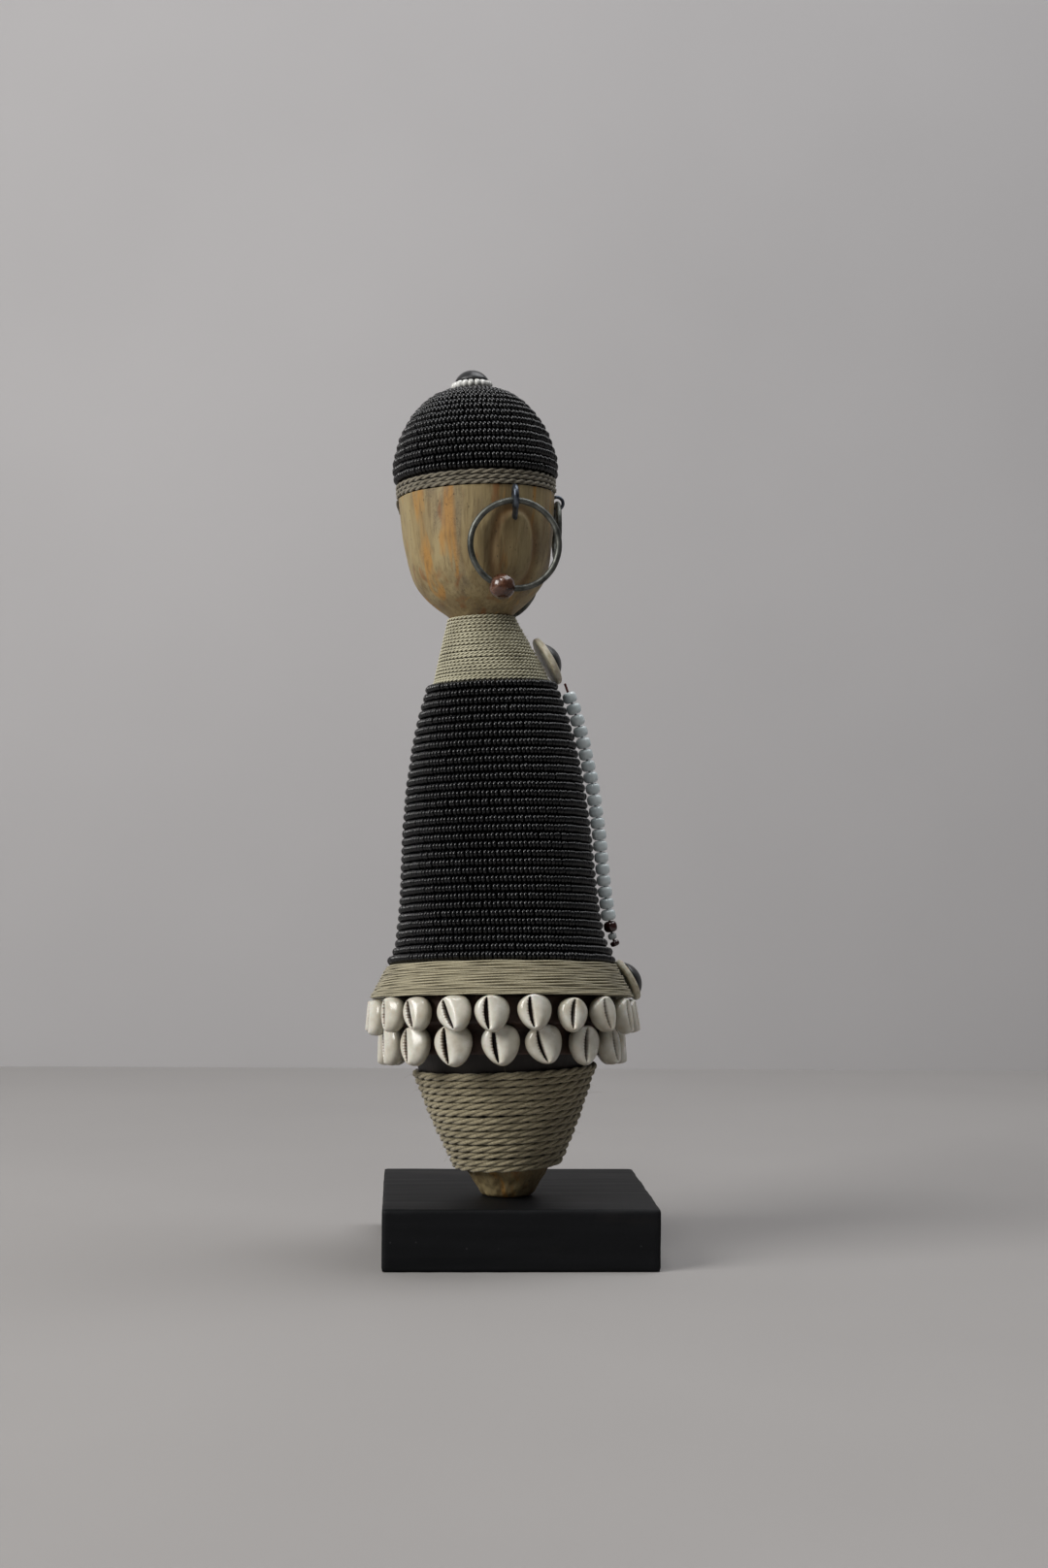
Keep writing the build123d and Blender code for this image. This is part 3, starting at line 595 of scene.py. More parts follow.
def seed_bead(diameter, length, sides):
    """One seed bead with its hole along Y: rounded shoulders and flat ends."""
    profile = [(0.45, -0.5), (0.90, -0.36), (1.0, 0.0), (0.90, 0.36), (0.45, 0.5)]
    points, faces = lathe([(diameter / 2 * radius, length * y) for radius, y in profile], sides)
    return points[:, [0, 2, 1]] * (1, 1, -1), faces


def bead_row(radius_at, height, tilts, diameter, spacing):
    """Places for the beads of one row: angle, reach and height for each, all slightly uneven."""
    count = round(2 * math.pi * (radius_at(height) - diameter / 2) / spacing)
    start = random.uniform(0, 2 * math.pi)
    angles = start + (np.arange(count) + random.normal(0, 0.06, count)) / count * 2 * math.pi
    side, back = (math.tan(math.radians(tilt)) for tilt in tilts)
    heights = height + radius_at(height) * (np.sin(angles) * side - np.cos(angles) * back)
    reaches = np.array([radius_at(level) for level in heights]) - diameter / 2
    return angles, reaches, heights


def strung_mesh(angles, reaches, heights, leans, diameter, length, sides):
    """Seed beads at many places round an axis, with a number for each bead's tone."""
    bead_points, bead_faces = seed_bead(diameter, length, sides)
    count = len(angles)
    turns = angles + random.normal(0, 0.06, count)
    outward = np.stack([np.cos(turns) * np.cos(leans), np.sin(turns) * np.cos(leans), np.sin(leans)], 1)
    along = np.stack([-np.sin(turns), np.cos(turns), random.normal(0, 0.05, count)], 1)
    along /= np.linalg.norm(along, axis=1, keepdims=True)
    upward = np.cross(outward, along)
    jitter = random.normal(0, 0.05 * MM, (count, 3))
    centres = np.stack([reaches * np.cos(angles), reaches * np.sin(angles), heights], 1) + jitter
    sizes = 1 + random.normal(0, 0.035, count)
    x, y, z = (bead_points[:, axis] for axis in range(3))
    points = (
        centres[:, None]
        + (outward * sizes[:, None])[:, None] * x[None, :, None]
        + along[:, None] * y[None, :, None]
        + (upward * sizes[:, None])[:, None] * z[None, :, None]
    ).reshape(-1, 3)
    size = len(bead_points)
    faces = [[corner + bead * size for corner in face] for bead in range(count) for face in bead_faces]
    return points, faces, np.repeat(random.uniform(0, 1, count), size)


def outline_radius(outline):
    """The radius at a height in metres, from (height, radius) points in millimetres."""
    heights = [height * MM for height, _ in outline]
    radii = [radius * MM for _, radius in outline]
    return lambda height: float(np.interp(height, heights, radii))


# ---------------------------------------------------------------- the doll's sizes, in millimetres

STRAND_SQUEEZE = 1.16  # strands press into each other
WOBBLES_A_TURN = 7
ROPE_OUTLINE = [(9.6, 18.2), (17.0, 21.3), (24.8, 24.8), (32.5, 27.6), (42.5, 31.3)]
ROPE_TURNS, ROPE_DIAMETER, ROPE_LAY = 14, 2.5, 16.5
TORSO_OUTLINE = [
    (74.0, 39.2), (79.3, 38.2), (81.6, 36.5), (85.2, 35.3), (92.0, 34.3), (101.0, 33.3),
    (120.5, 32.0), (136.6, 30.3), (152.0, 27.5), (160.0, 25.6), (171.3, 22.0),
]
TORSO_ROWS, BEAD_DIAMETER, BEAD_SPACING = 33, 2.85, 1.42
NECK_RADIUS, NECK_TOP_RADIUS, NECK_TURNS = 20.2, 11.5, 20
CAP_OUTLINE = [
    (46.2, 27.7), (49.5, 28.2), (53.0, 28.0), (57.0, 27.0), (61.5, 25.5),
    (65.5, 23.5), (69.5, 20.8), (73.0, 17.4), (75.7, 13.8), (77.6, 9.0),
]
CAP_ROWS = 14
BAND_BOTTOM, BAND_TOP, BAND_RADIUS, BAND_TURNS = 41.1, 46.1, 27.3, 3
FOOT_RADIUS, FOOT_TOP_RADIUS, FOOT_HEIGHT = 8.3, 13.9, 9.2
HEAD_OUTLINE = [
    (-0.6, 9.8), (0.1, 10.0), (1.8, 12.4), (5.8, 17.4), (9.8, 20.6),
    (13.5, 22.5), (18.0, 23.8), (27.2, 25.4), (41.1, 26.4),
]
EAR_WIDTH, EAR_HEIGHT, EAR_MIDDLE, EAR_GROOVE, EAR_DEPTH, EAR_SOFTNESS = 19.5, 28.5, 20.5, 2.6, 0.95, 2.6
BELT_BOTTOM, BELT_TOP, BELT_BOTTOM_RADIUS, BELT_TOP_RADIUS, BELT_TURNS = 0.3, 11.4, 44.6, 38.6, 12
BACKING = [(34.2, -18.6), (34.2, -10.6), (38.4, -8.6), (38.4, 0.2)]
BACKING_THICKNESS = 1.3
# Each row: how many, first angle, radius, middle height, length, width, and how far the shells flare
UPPER_ROW = (20, 7.6, 38.4, -5.8, 11.7, 13.0, -6)
LOWER_ROW = (16, -8.6, 34.2, -15.6, 13.4, 14.6, -4)
SHELL_BACK, SHELL_FACE = 4.25, 2.6
SHELL_HALF_SHARE, SHELL_TAPER = 0.43, 0.20  # half a shell's width as a share, and how much wider its top is
SHELL_LEAN = (10, 6)  # sideways lean in degrees, and its spread
ROPE_OVER = 0.8  # how far the rope's top turn stands above the rope's outline
CHEST_DISC_SHARE, CHEST_DISC_HEIGHT = 0.28, 177.66
RING_RADIUS, RING_WIRE = 14.45, 2.1
FACE_RING_RADIUS, FACE_RING_WIRE = 9.05, 1.9
FACE_RING_TURN = 1.5  # degrees
EYE_RADIUS, EYE_WIRE = 3.3, 2.0


# ---------------------------------------------------------------- windings

def make_windings():
    """Rope, belt, neck twine and the cap's band, each a cord wound turn by turn."""
    rope_radius = outline_radius(ROPE_OUTLINE)
    rope = fibre_material("rope_fibre", (0.190, 0.158, 0.092), (0.420, 0.370, 0.245), 0.0007)
    wound_piece(
        "wound_rope", FIGURE, lambda height: (0, 0, rope_radius(height) - ROPE_DIAMETER / 2 * MM),
        ROPE_OUTLINE[0][0] * MM, (ROPE_OUTLINE[-1][0] + ROPE_OVER) * MM, ROPE_TURNS,
        (3, ROPE_DIAMETER * MM, ROPE_LAY * MM, 9), rope, "hip_rope",
        step=0.8 * MM, wobble=0.10 * MM, hairs=(260, 2.0 * MM, 0.035 * MM),
    )
    belt_radius = outline_radius([(BELT_BOTTOM, BELT_BOTTOM_RADIUS), (BELT_TOP, BELT_TOP_RADIUS)])
    belt = fibre_material("belt_fibre", (0.300, 0.262, 0.165), (0.520, 0.475, 0.335), 0.0004)
    wound_piece(
        "wound_belt", SKIRT, lambda height: (0, 0, belt_radius(height) - 0.55 * MM),
        BELT_BOTTOM * MM, BELT_TOP * MM, BELT_TURNS,
        (2, 1.00 * MM, 40.0 * MM, 7), belt, None,
        step=0.55 * MM, wobble=0.07 * MM, hairs=(420, 1.2 * MM, 0.025 * MM),
    )
    filling = outline_radius([(BELT_BOTTOM, BELT_BOTTOM_RADIUS - 0.85), (BELT_TOP, BELT_TOP_RADIUS - 0.85)])
    levels = np.linspace(BELT_BOTTOM + 0.2, BELT_TOP - 0.2, 12) * MM
    profile = [(filling(level), level) for level in levels]
    profile += [(BELT_TOP_RADIUS * 0.85 * MM, levels[-1]), (BELT_TOP_RADIUS * 0.85 * MM, levels[0])]
    points, faces = turned_ring(profile[::-1], 180)
    # Painted shade: the layer under the belt's turns is darkened all over by its groove number.
    make_piece(
        "belt_under_layer", moved(points, SKIRT), faces, belt, "belt_twine",
        numbers={"groove_shade": np.full(len(points), 0.6)},
    )
    neck_low, neck_high = 171.3, 194.0
    neck_radius = outline_radius([(neck_low, NECK_RADIUS), (neck_high, NECK_TOP_RADIUS)])
    neck_shift = outline_radius([(neck_low, 0.0), (neck_high, HEAD_SHIFT / MM)])
    neck = fibre_material("neck_fibre", (0.430, 0.400, 0.270), (0.720, 0.690, 0.520), 0.0004)
    wound_piece(
        "wound_neck_twine", FIGURE, lambda height: (neck_shift(height), 0, neck_radius(height) - 0.6 * MM),
        neck_low * MM, neck_high * MM, NECK_TURNS,
        (2, 1.05 * MM, 3.4 * MM, 7), neck, "neck_twine",
        step=0.42 * MM, wobble=0.06 * MM, hairs=(160, 1.0 * MM, 0.02 * MM),
    )
    band = fibre_material("band_fibre", (0.130, 0.112, 0.078), (0.300, 0.270, 0.205), 0.0005)
    wound_piece(
        "wound_cap_band", HEAD, lambda height: (0, 0, (BAND_RADIUS - 0.85) * MM),
        BAND_BOTTOM * MM, BAND_TOP * MM, BAND_TURNS,
        (2, 1.60 * MM, 7.0 * MM, 10), band, "cap_cord_band",
        step=0.45 * MM, wobble=0.05 * MM, hairs=(60, 1.0 * MM, 0.025 * MM),
    )
    tail_angle = math.radians(165)
    out = np.array((math.cos(tail_angle), math.sin(tail_angle), 0))
    share = np.linspace(0, 1, 16)[:, None]
    tail = out * (BAND_RADIUS - 0.3 + 0.3 * np.sin(share * 5)) * MM
    tail = tail + (0, 0, BAND_BOTTOM * MM) + share * (0.0003, 0.0002, -0.0048) + (0, 0, 0.0005)
    across = np.tile(out, (16, 1))
    sideways = np.tile(np.cross(out, (0, 0, 1)), (16, 1))
    points, faces = tube(tail, across, sideways, np.linspace(0.5, 0.32, 16) * MM, 8)
    # Painted shade: the tail gets a high groove number, so it is painted almost as dark as the shade between
    # strands.
    make_piece(
        "band_tail", moved(points, HEAD), faces, band, None,
        numbers={"groove_shade": np.full(len(points), 0.9)},
    )


# ---------------------------------------------------------------- beads wound on the body and the cap

def make_wound_beads():
    """The torso's rows, which level out toward the neck, and the cap's rows over its dome."""
    black = black_bead_material()
    diameter, spacing = BEAD_DIAMETER * MM, BEAD_SPACING * MM
    torso_radius = outline_radius(TORSO_OUTLINE)
    bottom = (SKIRT_BASE / MM + BELT_TOP) * MM
    pitch = (TORSO_OUTLINE[-1][0] * MM - bottom) / TORSO_ROWS
    rows = []
    for number in range(TORSO_ROWS):
        fade = (1 - number / (TORSO_ROWS - 1)) ** 1.2
        tilts = [tilt * fade for tilt in SKIRT_TILT[:2]]
        rows.append(bead_row(torso_radius, bottom + pitch * (number + 0.5), tilts, diameter, spacing))
    third = TORSO_ROWS // 3
    for part in range(3):
        some = rows[part * third:(part + 1) * third]
        angles, reaches, heights = (np.concatenate(values) for values in zip(*some))
        points, faces, tones = strung_mesh(
            angles, reaches, heights, np.full(len(angles), 0.06), diameter, spacing * 0.95, 12
        )
        make_piece(
            f"torso_bead_rows_{part + 1}", moved(points, FIGURE), faces, black,
            "torso_beads" if part == 0 else None, numbers={"tone": tones},
        )
    outline = np.array(CAP_OUTLINE) * MM
    lengths = np.concatenate([[0], np.cumsum(np.linalg.norm(np.diff(outline, axis=0), axis=1))])
    spread = lengths[-1] / CAP_ROWS
    angles, reaches, heights, leans = [], [], [], []
    for number in range(CAP_ROWS):
        at = spread * (number + 0.5)
        height, radius = (np.interp(at, lengths, outline[:, axis]) for axis in range(2))
        ahead = [np.interp(at + spread / 2, lengths, outline[:, axis]) for axis in range(2)]
        behind = [np.interp(at - spread / 2, lengths, outline[:, axis]) for axis in range(2)]
        lean = math.atan2(behind[1] - ahead[1], ahead[0] - behind[0])
        reach = radius - diameter / 2 * math.cos(lean)
        count = round(2 * math.pi * reach / spacing)
        turn = random.uniform(0, 2 * math.pi)
        angles.append(turn + (np.arange(count) + random.normal(0, 0.06, count)) / count * 2 * math.pi)
        reaches.append(np.full(count, reach))
        heights.append(np.full(count, height - diameter / 2 * math.sin(lean)))
        leans.append(np.full(count, lean))
    angles, reaches, heights, leans = (np.concatenate(values) for values in (angles, reaches, heights, leans))
    points, faces, tones = strung_mesh(angles, reaches, heights, leans, diameter, spacing * 0.95, 12)
    make_piece(
        "cap_bead_rows", moved(points, HEAD), faces, black, "cap_beads",
        numbers={"tone": tones},
    )
    white = glass_bead_material("white_glass", (0.60, 0.60, 0.57), (0.74, 0.74, 0.72), 0.3)
    count = 18
    angles = np.arange(count) / count * 2 * math.pi
    top = (CAP_OUTLINE[-1][0] + 0.05 + 1.35) * MM
    points, faces, _ = strung_mesh(
        angles, np.full(count, 5.75 * MM), np.full(count, top), np.zeros(count), 2.7 * MM, 1.92 * MM, 16
    )
    make_piece("crown_white_beads", moved(points, HEAD), faces, white, "crown_bead_ring")


# ---------------------------------------------------------------- carved wood

def make_carving():
    """The figure: rough foot, the core under the windings, and the head with two outlined ears."""
    sides = 288
    angles = np.arange(sides) / sides * 2 * math.pi
    rows, painted_shades, ear_groove_shades = [], [], []

    def add_row(base, radii, height, painted_shade):
        points = np.stack([radii * np.cos(angles), radii * np.sin(angles), np.full(sides, height)], 1)
        rows.append(moved(points, base))
        painted_shades.append(np.full(sides, painted_shade))
        ear_groove_shades.append(np.zeros(sides))

    for share in np.linspace(0, 1, 22):
        radius = (FOOT_RADIUS + (FOOT_TOP_RADIUS - FOOT_RADIUS) * share) * MM
        height = FOOT_HEIGHT * share * MM
        round_points = np.stack([radius * np.cos(angles), radius * np.sin(angles), np.full(sides, height)], 1)
        rough = ripple_at(round_points, FOOT_RELIEF) * 0.22 * MM
        corner = -0.8 * MM * max(0.0, 1 - share * 9)
        # The foot is painted a little darker toward its bottom: painted shade where it meets the stand.
        add_row(FIGURE, radius + rough + corner, height, 0.1 * (1 - share))
    # The core and neck rows here, and the cap's dome rows further down, get full painted shade; they show only in
    # gaps between cords and beads.
    core = [(10.0, 15.6), (17.0, 18.7), (24.8, 22.2), (42.5, 28.7), (66.0, 33.5)]
    core += [(height, radius - 2.6) for height, radius in TORSO_OUTLINE[2:]]
    for height, radius in core:
        add_row(FIGURE, radius * MM, height * MM, 1.0)
    add_row(FIGURE, (NECK_RADIUS - 1.3) * MM, 171.4 * MM, 1.0)
    for height in np.linspace(-0.6, 41.0, 130):
        radius = smooth_head_radius(height) * MM
        across = np.stack([radius * np.cos(angles), radius * np.sin(angles), np.full(sides, height * MM)], 1)
        facets = ripple_at(across * (1, 1, 0.45), HEAD_RELIEF) * 0.13 * MM
        cut = sum(ear_depth(angles, height, radius, side) for side in (-EAR_ANGLE, EAR_ANGLE))
        add_row(HEAD, radius + facets - cut * EAR_DEPTH * MM, height * MM, 0.0)
        # Half the cut's depth is the painted shade in the ear groove.
        ear_groove_shades[-1] = np.clip(cut * 0.5, 0, 1)
    shoulder = BAND_RADIUS - 1.85
    dome = [(shoulder, 41.1), (shoulder, 46.0)]
    dome += [(radius - 3.4, height - 0.6) for height, radius in CAP_OUTLINE[1:-1]]
    for radius, height in dome:
        add_row(HEAD, radius * MM, height * MM, 1.0)
    points = np.concatenate(rows)
    floor = STAND_TOP + 0.05 * MM
    points[:, 2] = np.maximum(points[:, 2], floor)
    make_piece(
        "carved_figure", points, grid_faces(len(rows), sides), wood_material(), "figure_wood",
        numbers={"painted_shade": np.concatenate(painted_shades), "groove_shade": np.concatenate(ear_groove_shades)},
    )


def relief_waves(size, waves=24):
    """Plane waves for a relief that stays the same from row to row."""
    directions = random.normal(0, 1, (waves, 3))
    directions /= np.linalg.norm(directions, axis=1, keepdims=True)
    lengths = size * random.uniform(0.6, 1.7, (waves, 1))
    return directions / lengths * 2 * math.pi, random.uniform(0, 2 * math.pi, waves)


def ripple_at(points, relief):
    """The relief at each point, about -1 to 1."""
    directions, phases = relief
    return np.sin(points @ directions.T + phases).sum(1) / math.sqrt(len(phases))


FOOT_RELIEF, HEAD_RELIEF, STAND_RELIEF = relief_waves(3.5 * MM), relief_waves(11 * MM), relief_waves(16 * MM)


def smooth_head_radius(height):
    """The head's radius, its outline's corners rounded off."""
    window = np.linspace(-1.6, 1.6, 9)
    heights, radii = zip(*HEAD_OUTLINE)
    return float(np.mean(np.interp(height + window, heights, radii)))


def ear_depth(angles, height, radius, ear_angle):
    """How deep the ear's outlining cut is at each angle of one height, 0 to 1."""
    turn = (angles - math.radians(ear_angle) + math.pi) % (2 * math.pi) - math.pi
    across, up = radius / MM * np.sin(turn), height - EAR_MIDDLE
    half_width, half_height = (EAR_WIDTH - EAR_GROOVE) / 2, (EAR_HEIGHT - EAR_GROOVE) / 2
    around = (np.abs(across / half_width) ** 2.3 + np.abs(up / half_height) ** 2.3) ** (1 / 2.3)
    slope = np.hypot(across / half_width ** 2, up / half_height ** 2) / np.maximum(around, 0.05)
    distance = np.abs(around - 1) / np.maximum(slope, 0.01)
    depth = np.clip(1 - distance / EAR_SOFTNESS, 0, 1)
    return np.where(np.abs(turn) < 1.2, depth * depth * (3 - 2 * depth), 0)


# ---------------------------------------------------------------- cowrie shells

def cowrie(length, width):
    """One shell: X outward, Z up; rings run from the slit to the rim, then round the back."""
    count = 72
    around = np.arange(count) / count * 2 * math.pi
    half = length / 2
    lift = np.sin(around)
    rim_half = width * SHELL_HALF_SHARE * np.cos(around) * (1 + SHELL_TAPER * lift)
    bow, offset = random.uniform(0.35, 0.75) * MM, -width * random.uniform(0.10, 0.15)
    slit_z = half * 0.84 * lift
    slit_middle = offset - bow * (1 - lift ** 2) + bow * 0.5
    slit_half = random.uniform(0.30, 0.50) * MM
    rows, slit_shades, teeth, rim_tints_and_shades = [], [], [], []
    left = np.clip(-np.cos(around) * 3, 0, 1)
    right = np.clip(np.cos(around) * 3, 0, 1)
    comb = 0.5 + 0.5 * np.cos(slit_z / (0.98 * MM) * 2 * math.pi)
    for share in [0, 0.02, 0.05, 0.09, 0.13, 0.18, 0.24, 0.32, 0.42, 0.53, 0.64, 0.74, 0.83, 0.90, 0.95, 0.985, 1.0]:
        y = slit_middle + slit_half * np.cos(around)
        y = y + (rim_half - y) * share
        z = slit_z + (half * lift - slit_z) * share
        dome = SHELL_FACE * MM * (1 - share ** 3.0) ** 0.55
        crest = 0.55 * MM * np.sin(min(share / 0.75, 1) * math.pi) * right
        mouth = -1.9 * MM * math.exp(-(share / 0.032) ** 2) - 0.35 * MM * math.exp(-(share / 0.10) ** 2)
        reach_left, reach_right = 0.30, 0.10
        tooth_share = left * max(0, 1 - share / reach_left) + right * max(0, 1 - share / reach_right)
        ridge = 0.16 * MM * (comb - 0.5) * tooth_share
        rows.append(np.stack([dome + crest + mouth + ridge, y, z], 1))
        # How much of the slit's painted shade each point gets.
        slit_shades.append(np.full(count, math.exp(-(share / 0.045) ** 4)))
        gap = np.clip((0.42 - comb) * 3, 0, 1) * np.clip(tooth_share * 1.5, 0, 1)
        teeth.append(gap * (left * 1.0 + right * 0.5))
        # Darker toward the rim: partly rim tint, partly painted shade.
        rim_tints_and_shades.append(np.full(count, share ** 4))
    for share in [0.97, 0.90, 0.78, 0.60, 0.38, 0.15]:
        depth = (SHELL_BACK - 0.1) * MM * math.sqrt(1 - share ** 2)
        rows.append(np.stack([np.full(count, -depth), rim_half * share, half * lift * share], 1))
        slit_shades.append(np.zeros(count))
        teeth.append(np.zeros(count))
        # The back gets the full rim darkening, tint and painted shade where it faces the skirt.
        rim_tints_and_shades.append(np.ones(count))
    numbers = [np.concatenate(values) for values in (slit_shades, teeth, rim_tints_and_shades)]
    faces = [face[::-1] for face in grid_faces(len(rows), count)]
    return np.concatenate(rows), faces, numbers


def make_shell_row(name, node, row, material):
    """A ring of shells hung on the skirt, each turned and tilted a little differently."""
    count, first, radius, middle, length, width, flare = row
    parts, numbers = [], []
    for number in range(count):
        size = random.uniform(0.94, 1.03)
        points, faces, marks = cowrie(length * size * MM, width * size * random.uniform(0.94, 1.03) * MM)
        place_here = (
            SKIRT
            @ Matrix.Rotation(math.radians(first + 360 * number / count) + random.normal(0, 0.012), 4, "Z")
            @ Matrix.Translation(((radius + SHELL_BACK) * MM, 0, (middle + random.normal(0, 0.25)) * MM))
            @ Matrix.Rotation(math.radians(random.normal(*SHELL_LEAN)), 4, "X")
            @ Matrix.Rotation(math.radians(random.normal(0, 4)), 4, "Z")
            @ Matrix.Rotation(math.radians(random.normal(flare, 2)), 4, "Y")
        )
        parts.append((moved(points, place_here), faces))
        numbers.append(marks)
    points, faces = joined(parts)
    slit_shades, teeth, rim_tints_and_shades = (np.concatenate(values) for values in zip(*numbers))
    make_piece(
        name, points, faces, material, node, numbers={"slit": slit_shades, "tooth": teeth, "rim": rim_tints_and_shades}
    )


def make_skirt():
    """Leather backing and its two rows of shells."""
    outline = [(radius * MM, height * MM) for radius, height in BACKING]
    inside = [(radius - BACKING_THICKNESS * MM, height) for radius, height in outline]
    corners = np.array(outline + inside[::-1])
    profile = []
    for start, end in zip(corners, np.roll(corners, -1, 0)):
        steps = max(2, int(np.linalg.norm(end - start) / (0.8 * MM)))
        profile += [tuple(start + (end - start) * step / steps) for step in range(steps)]
    points, faces = turned_ring(profile, 240)
    points = points * (1 + 0.004 * ripple_at(points, HEAD_RELIEF)[:, None] * (1, 1, 0))
    make_piece(
        "leather_backing", moved(points, SKIRT), faces, leather_material(), "skirt_backing"
    )
    shell = shell_material()
    make_shell_row("upper_shell_row", "upper_cowrie_shells", UPPER_ROW, shell)
    make_shell_row("lower_shell_row", "lower_cowrie_shells", LOWER_ROW, shell)


# ---------------------------------------------------------------- discs, buttons and the strand

def flat_frame(base, distance, height, slope):
    """A frame whose Z points outward from a slope at the doll's front."""
    tilted = place(Vector((distance * MM, 0, height * MM)), (0, -slope, 0))
    return base @ tilted @ Matrix.Rotation(math.pi / 2, 4, "Y")


def rounded_profile(radius, low, high, corner, steps=6):
    """A disc's outline, rounded at both edges."""
    profile = [(radius * 0.3, low)]
    for step in range(steps + 1):
        angle = math.pi / 2 * step / steps
        profile.append((radius - corner + corner * math.sin(angle), low + corner - corner * math.cos(angle)))
    for step in range(steps + 1):
        angle = math.pi / 2 * step / steps
        profile.append((radius - corner + corner * math.cos(angle), high - corner + corner * math.sin(angle)))
    return profile + [(radius * 0.3, high)]


def domed_profile(width, height, rim):
    """A button's outline: a short upright rim under a dome."""
    ball = (width * width / 4 + (height - rim) ** 2) / (2 * (height - rim))
    profile = [(width * 0.25, 0), (width * 0.47, 0), (width * 0.5, rim * 0.4), (width * 0.5, rim)]
    for step in range(1, 12):
        radius = width / 2 * (1 - step / 12)
        profile.append((radius, height - ball + math.sqrt(ball * ball - radius * radius)))
    return profile + [(width * 0.01, height)]


def make_trim():
    """The two discs with their buttons, the crown's button, and the strand of beads."""
    bone, button = bone_material(), button_material()
    neck_slope = math.degrees(math.atan2(NECK_RADIUS - NECK_TOP_RADIUS - HEAD_SHIFT / MM, 22.7))
    reach = NECK_RADIUS + (NECK_TOP_RADIUS - NECK_RADIUS + HEAD_SHIFT / MM) * CHEST_DISC_SHARE
    chest = flat_frame(FIGURE, reach, CHEST_DISC_HEIGHT, neck_slope)
    chest = chest @ Matrix.Translation((0, 0, 1.45 * MM))
    belt_slope = math.degrees(math.atan2(BELT_BOTTOM_RADIUS - BELT_TOP_RADIUS, BELT_TOP - BELT_BOTTOM))
    belt_reach, belt_height = (BELT_BOTTOM_RADIUS + BELT_TOP_RADIUS) / 2, (BELT_BOTTOM + BELT_TOP) / 2
    belt = flat_frame(SKIRT, belt_reach, belt_height, belt_slope)
    belt = belt @ Matrix.Translation((0, 0, 0.45 * MM))
    for name, base, width in (("chest", chest, 17.5), ("belt", belt, 15.0)):
        profile = rounded_profile(width / 2 * MM, 0, 2.2 * MM, 0.9 * MM)
        points, faces = lathe(profile, 72)
        points[:, 2] += 0.08 * MM * ripple_at(points, HEAD_RELIEF)
        make_piece(f"{name}_bone_disc", moved(points, base), faces, bone, f"{name}_disc")
        points, faces = lathe([(radius * MM, z * MM) for radius, z in domed_profile(11.6, 3.3, 0.5)], 56)
        lifted = base @ Matrix.Translation((0, 0, 2.25 * MM))
        make_piece(f"{name}_horn_button", moved(points, lifted), faces, button, f"{name}_button")
    points, faces = lathe([(radius * MM, z * MM) for radius, z in domed_profile(11.2, 4.0, 0.6)], 56)
    crown = HEAD @ Matrix.Translation((0, 0, (CAP_OUTLINE[-1][0] + 2.8) * MM))
    make_piece("crown_horn_button", moved(points, crown), faces, button, "crown_button")
    make_strand()


def make_strand():
    """The pale beads down the belly, and the dark, clear and small end beads."""
    torso_radius = outline_radius(TORSO_OUTLINE)

    def bead_at(height, width, length, round_share):
        reach = torso_radius(height * MM) + 3.0 * MM
        above, below = torso_radius((height + 2) * MM), torso_radius((height - 2) * MM)
        lean = math.degrees(math.atan2(above - below, 4 * MM))
        base = FIGURE @ place(Vector((reach, 0, height * MM)), (random.normal(0, 2), lean, random.uniform(0, 90)))
        corner = length * round_share
        profile = rounded_profile(width / 2 * MM, -length / 2 * MM, length / 2 * MM, corner * MM)
        points, faces = lathe(profile, 32)
        return moved(points, base), faces

    pale = glass_bead_material("pale_glass", (0.62, 0.70, 0.72), (0.74, 0.81, 0.82), 0.22)
    beads = [
        bead_at(height, 5.0 * random.uniform(0.96, 1.02), 3.80 * random.uniform(0.96, 1.0), 0.36)
        for height in np.linspace(166.3, 92.2, 20)
    ]
    points, faces = joined(beads)
    make_piece("strand_pale_beads", points, faces, pale, "strand_white_beads")
    dark = glass_bead_material("dark_red_glass", (0.020, 0.004, 0.004), (0.045, 0.008, 0.008), 0.10)
    clear = glass_bead_material("clear_glass", (0.42, 0.45, 0.45), (0.60, 0.63, 0.63), 0.08)
    for name, node, slot, material, sizes in (
        ("strand_black_bead", "strand_dark_bead", "dark_bead", dark, (88.2, 4.6, 3.8)),
        ("strand_glass_bead", "strand_clear_bead", "clear_bead", clear, (84.9, 3.0, 2.2)),
        ("strand_last_bead", "strand_end_bead", "dark_bead", dark, (82.5, 3.2, 1.8)),
    ):
        points, faces = bead_at(*sizes, 0.4)
        make_piece(name, points, faces, material, node)


# ---------------------------------------------------------------- rings and their eyes

def wire_loop(centre, axis, radius, wire, unevenness, sides=16):
    """A hand-bent wire ring, slightly out of round and uneven in thickness."""
    axis = Vector(axis).normalized()
    across = np.array(axis.cross(Vector((0, 0, 1))).normalized())
    up = np.cross(across, axis)
    angles = np.arange(120) / 120 * 2 * math.pi
    radial = np.cos(angles)[:, None] * across + np.sin(angles)[:, None] * up
    bends = sum(random.normal(0, 1) * np.sin(angles * wave + random.uniform(0, 6)) for wave in (2, 3, 4, 5))
    path = np.array(centre) + radial * (radius + unevenness * 0.3 * bends)[:, None]
    dents = sum(random.normal(0, 1) * np.sin(angles * wave + random.uniform(0, 6)) for wave in (5, 9, 14, 23))
    axes = np.tile(np.array(axis), (120, 1))
    return tube(path, radial, axes, wire / 2 - unevenness * 0.12 * (2 + dents), sides, closed=True)


def ring_centre(node):
    """The middle of a CAD ring's box."""
    low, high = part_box(node)
    return (Vector(low) + Vector(high)) / 2


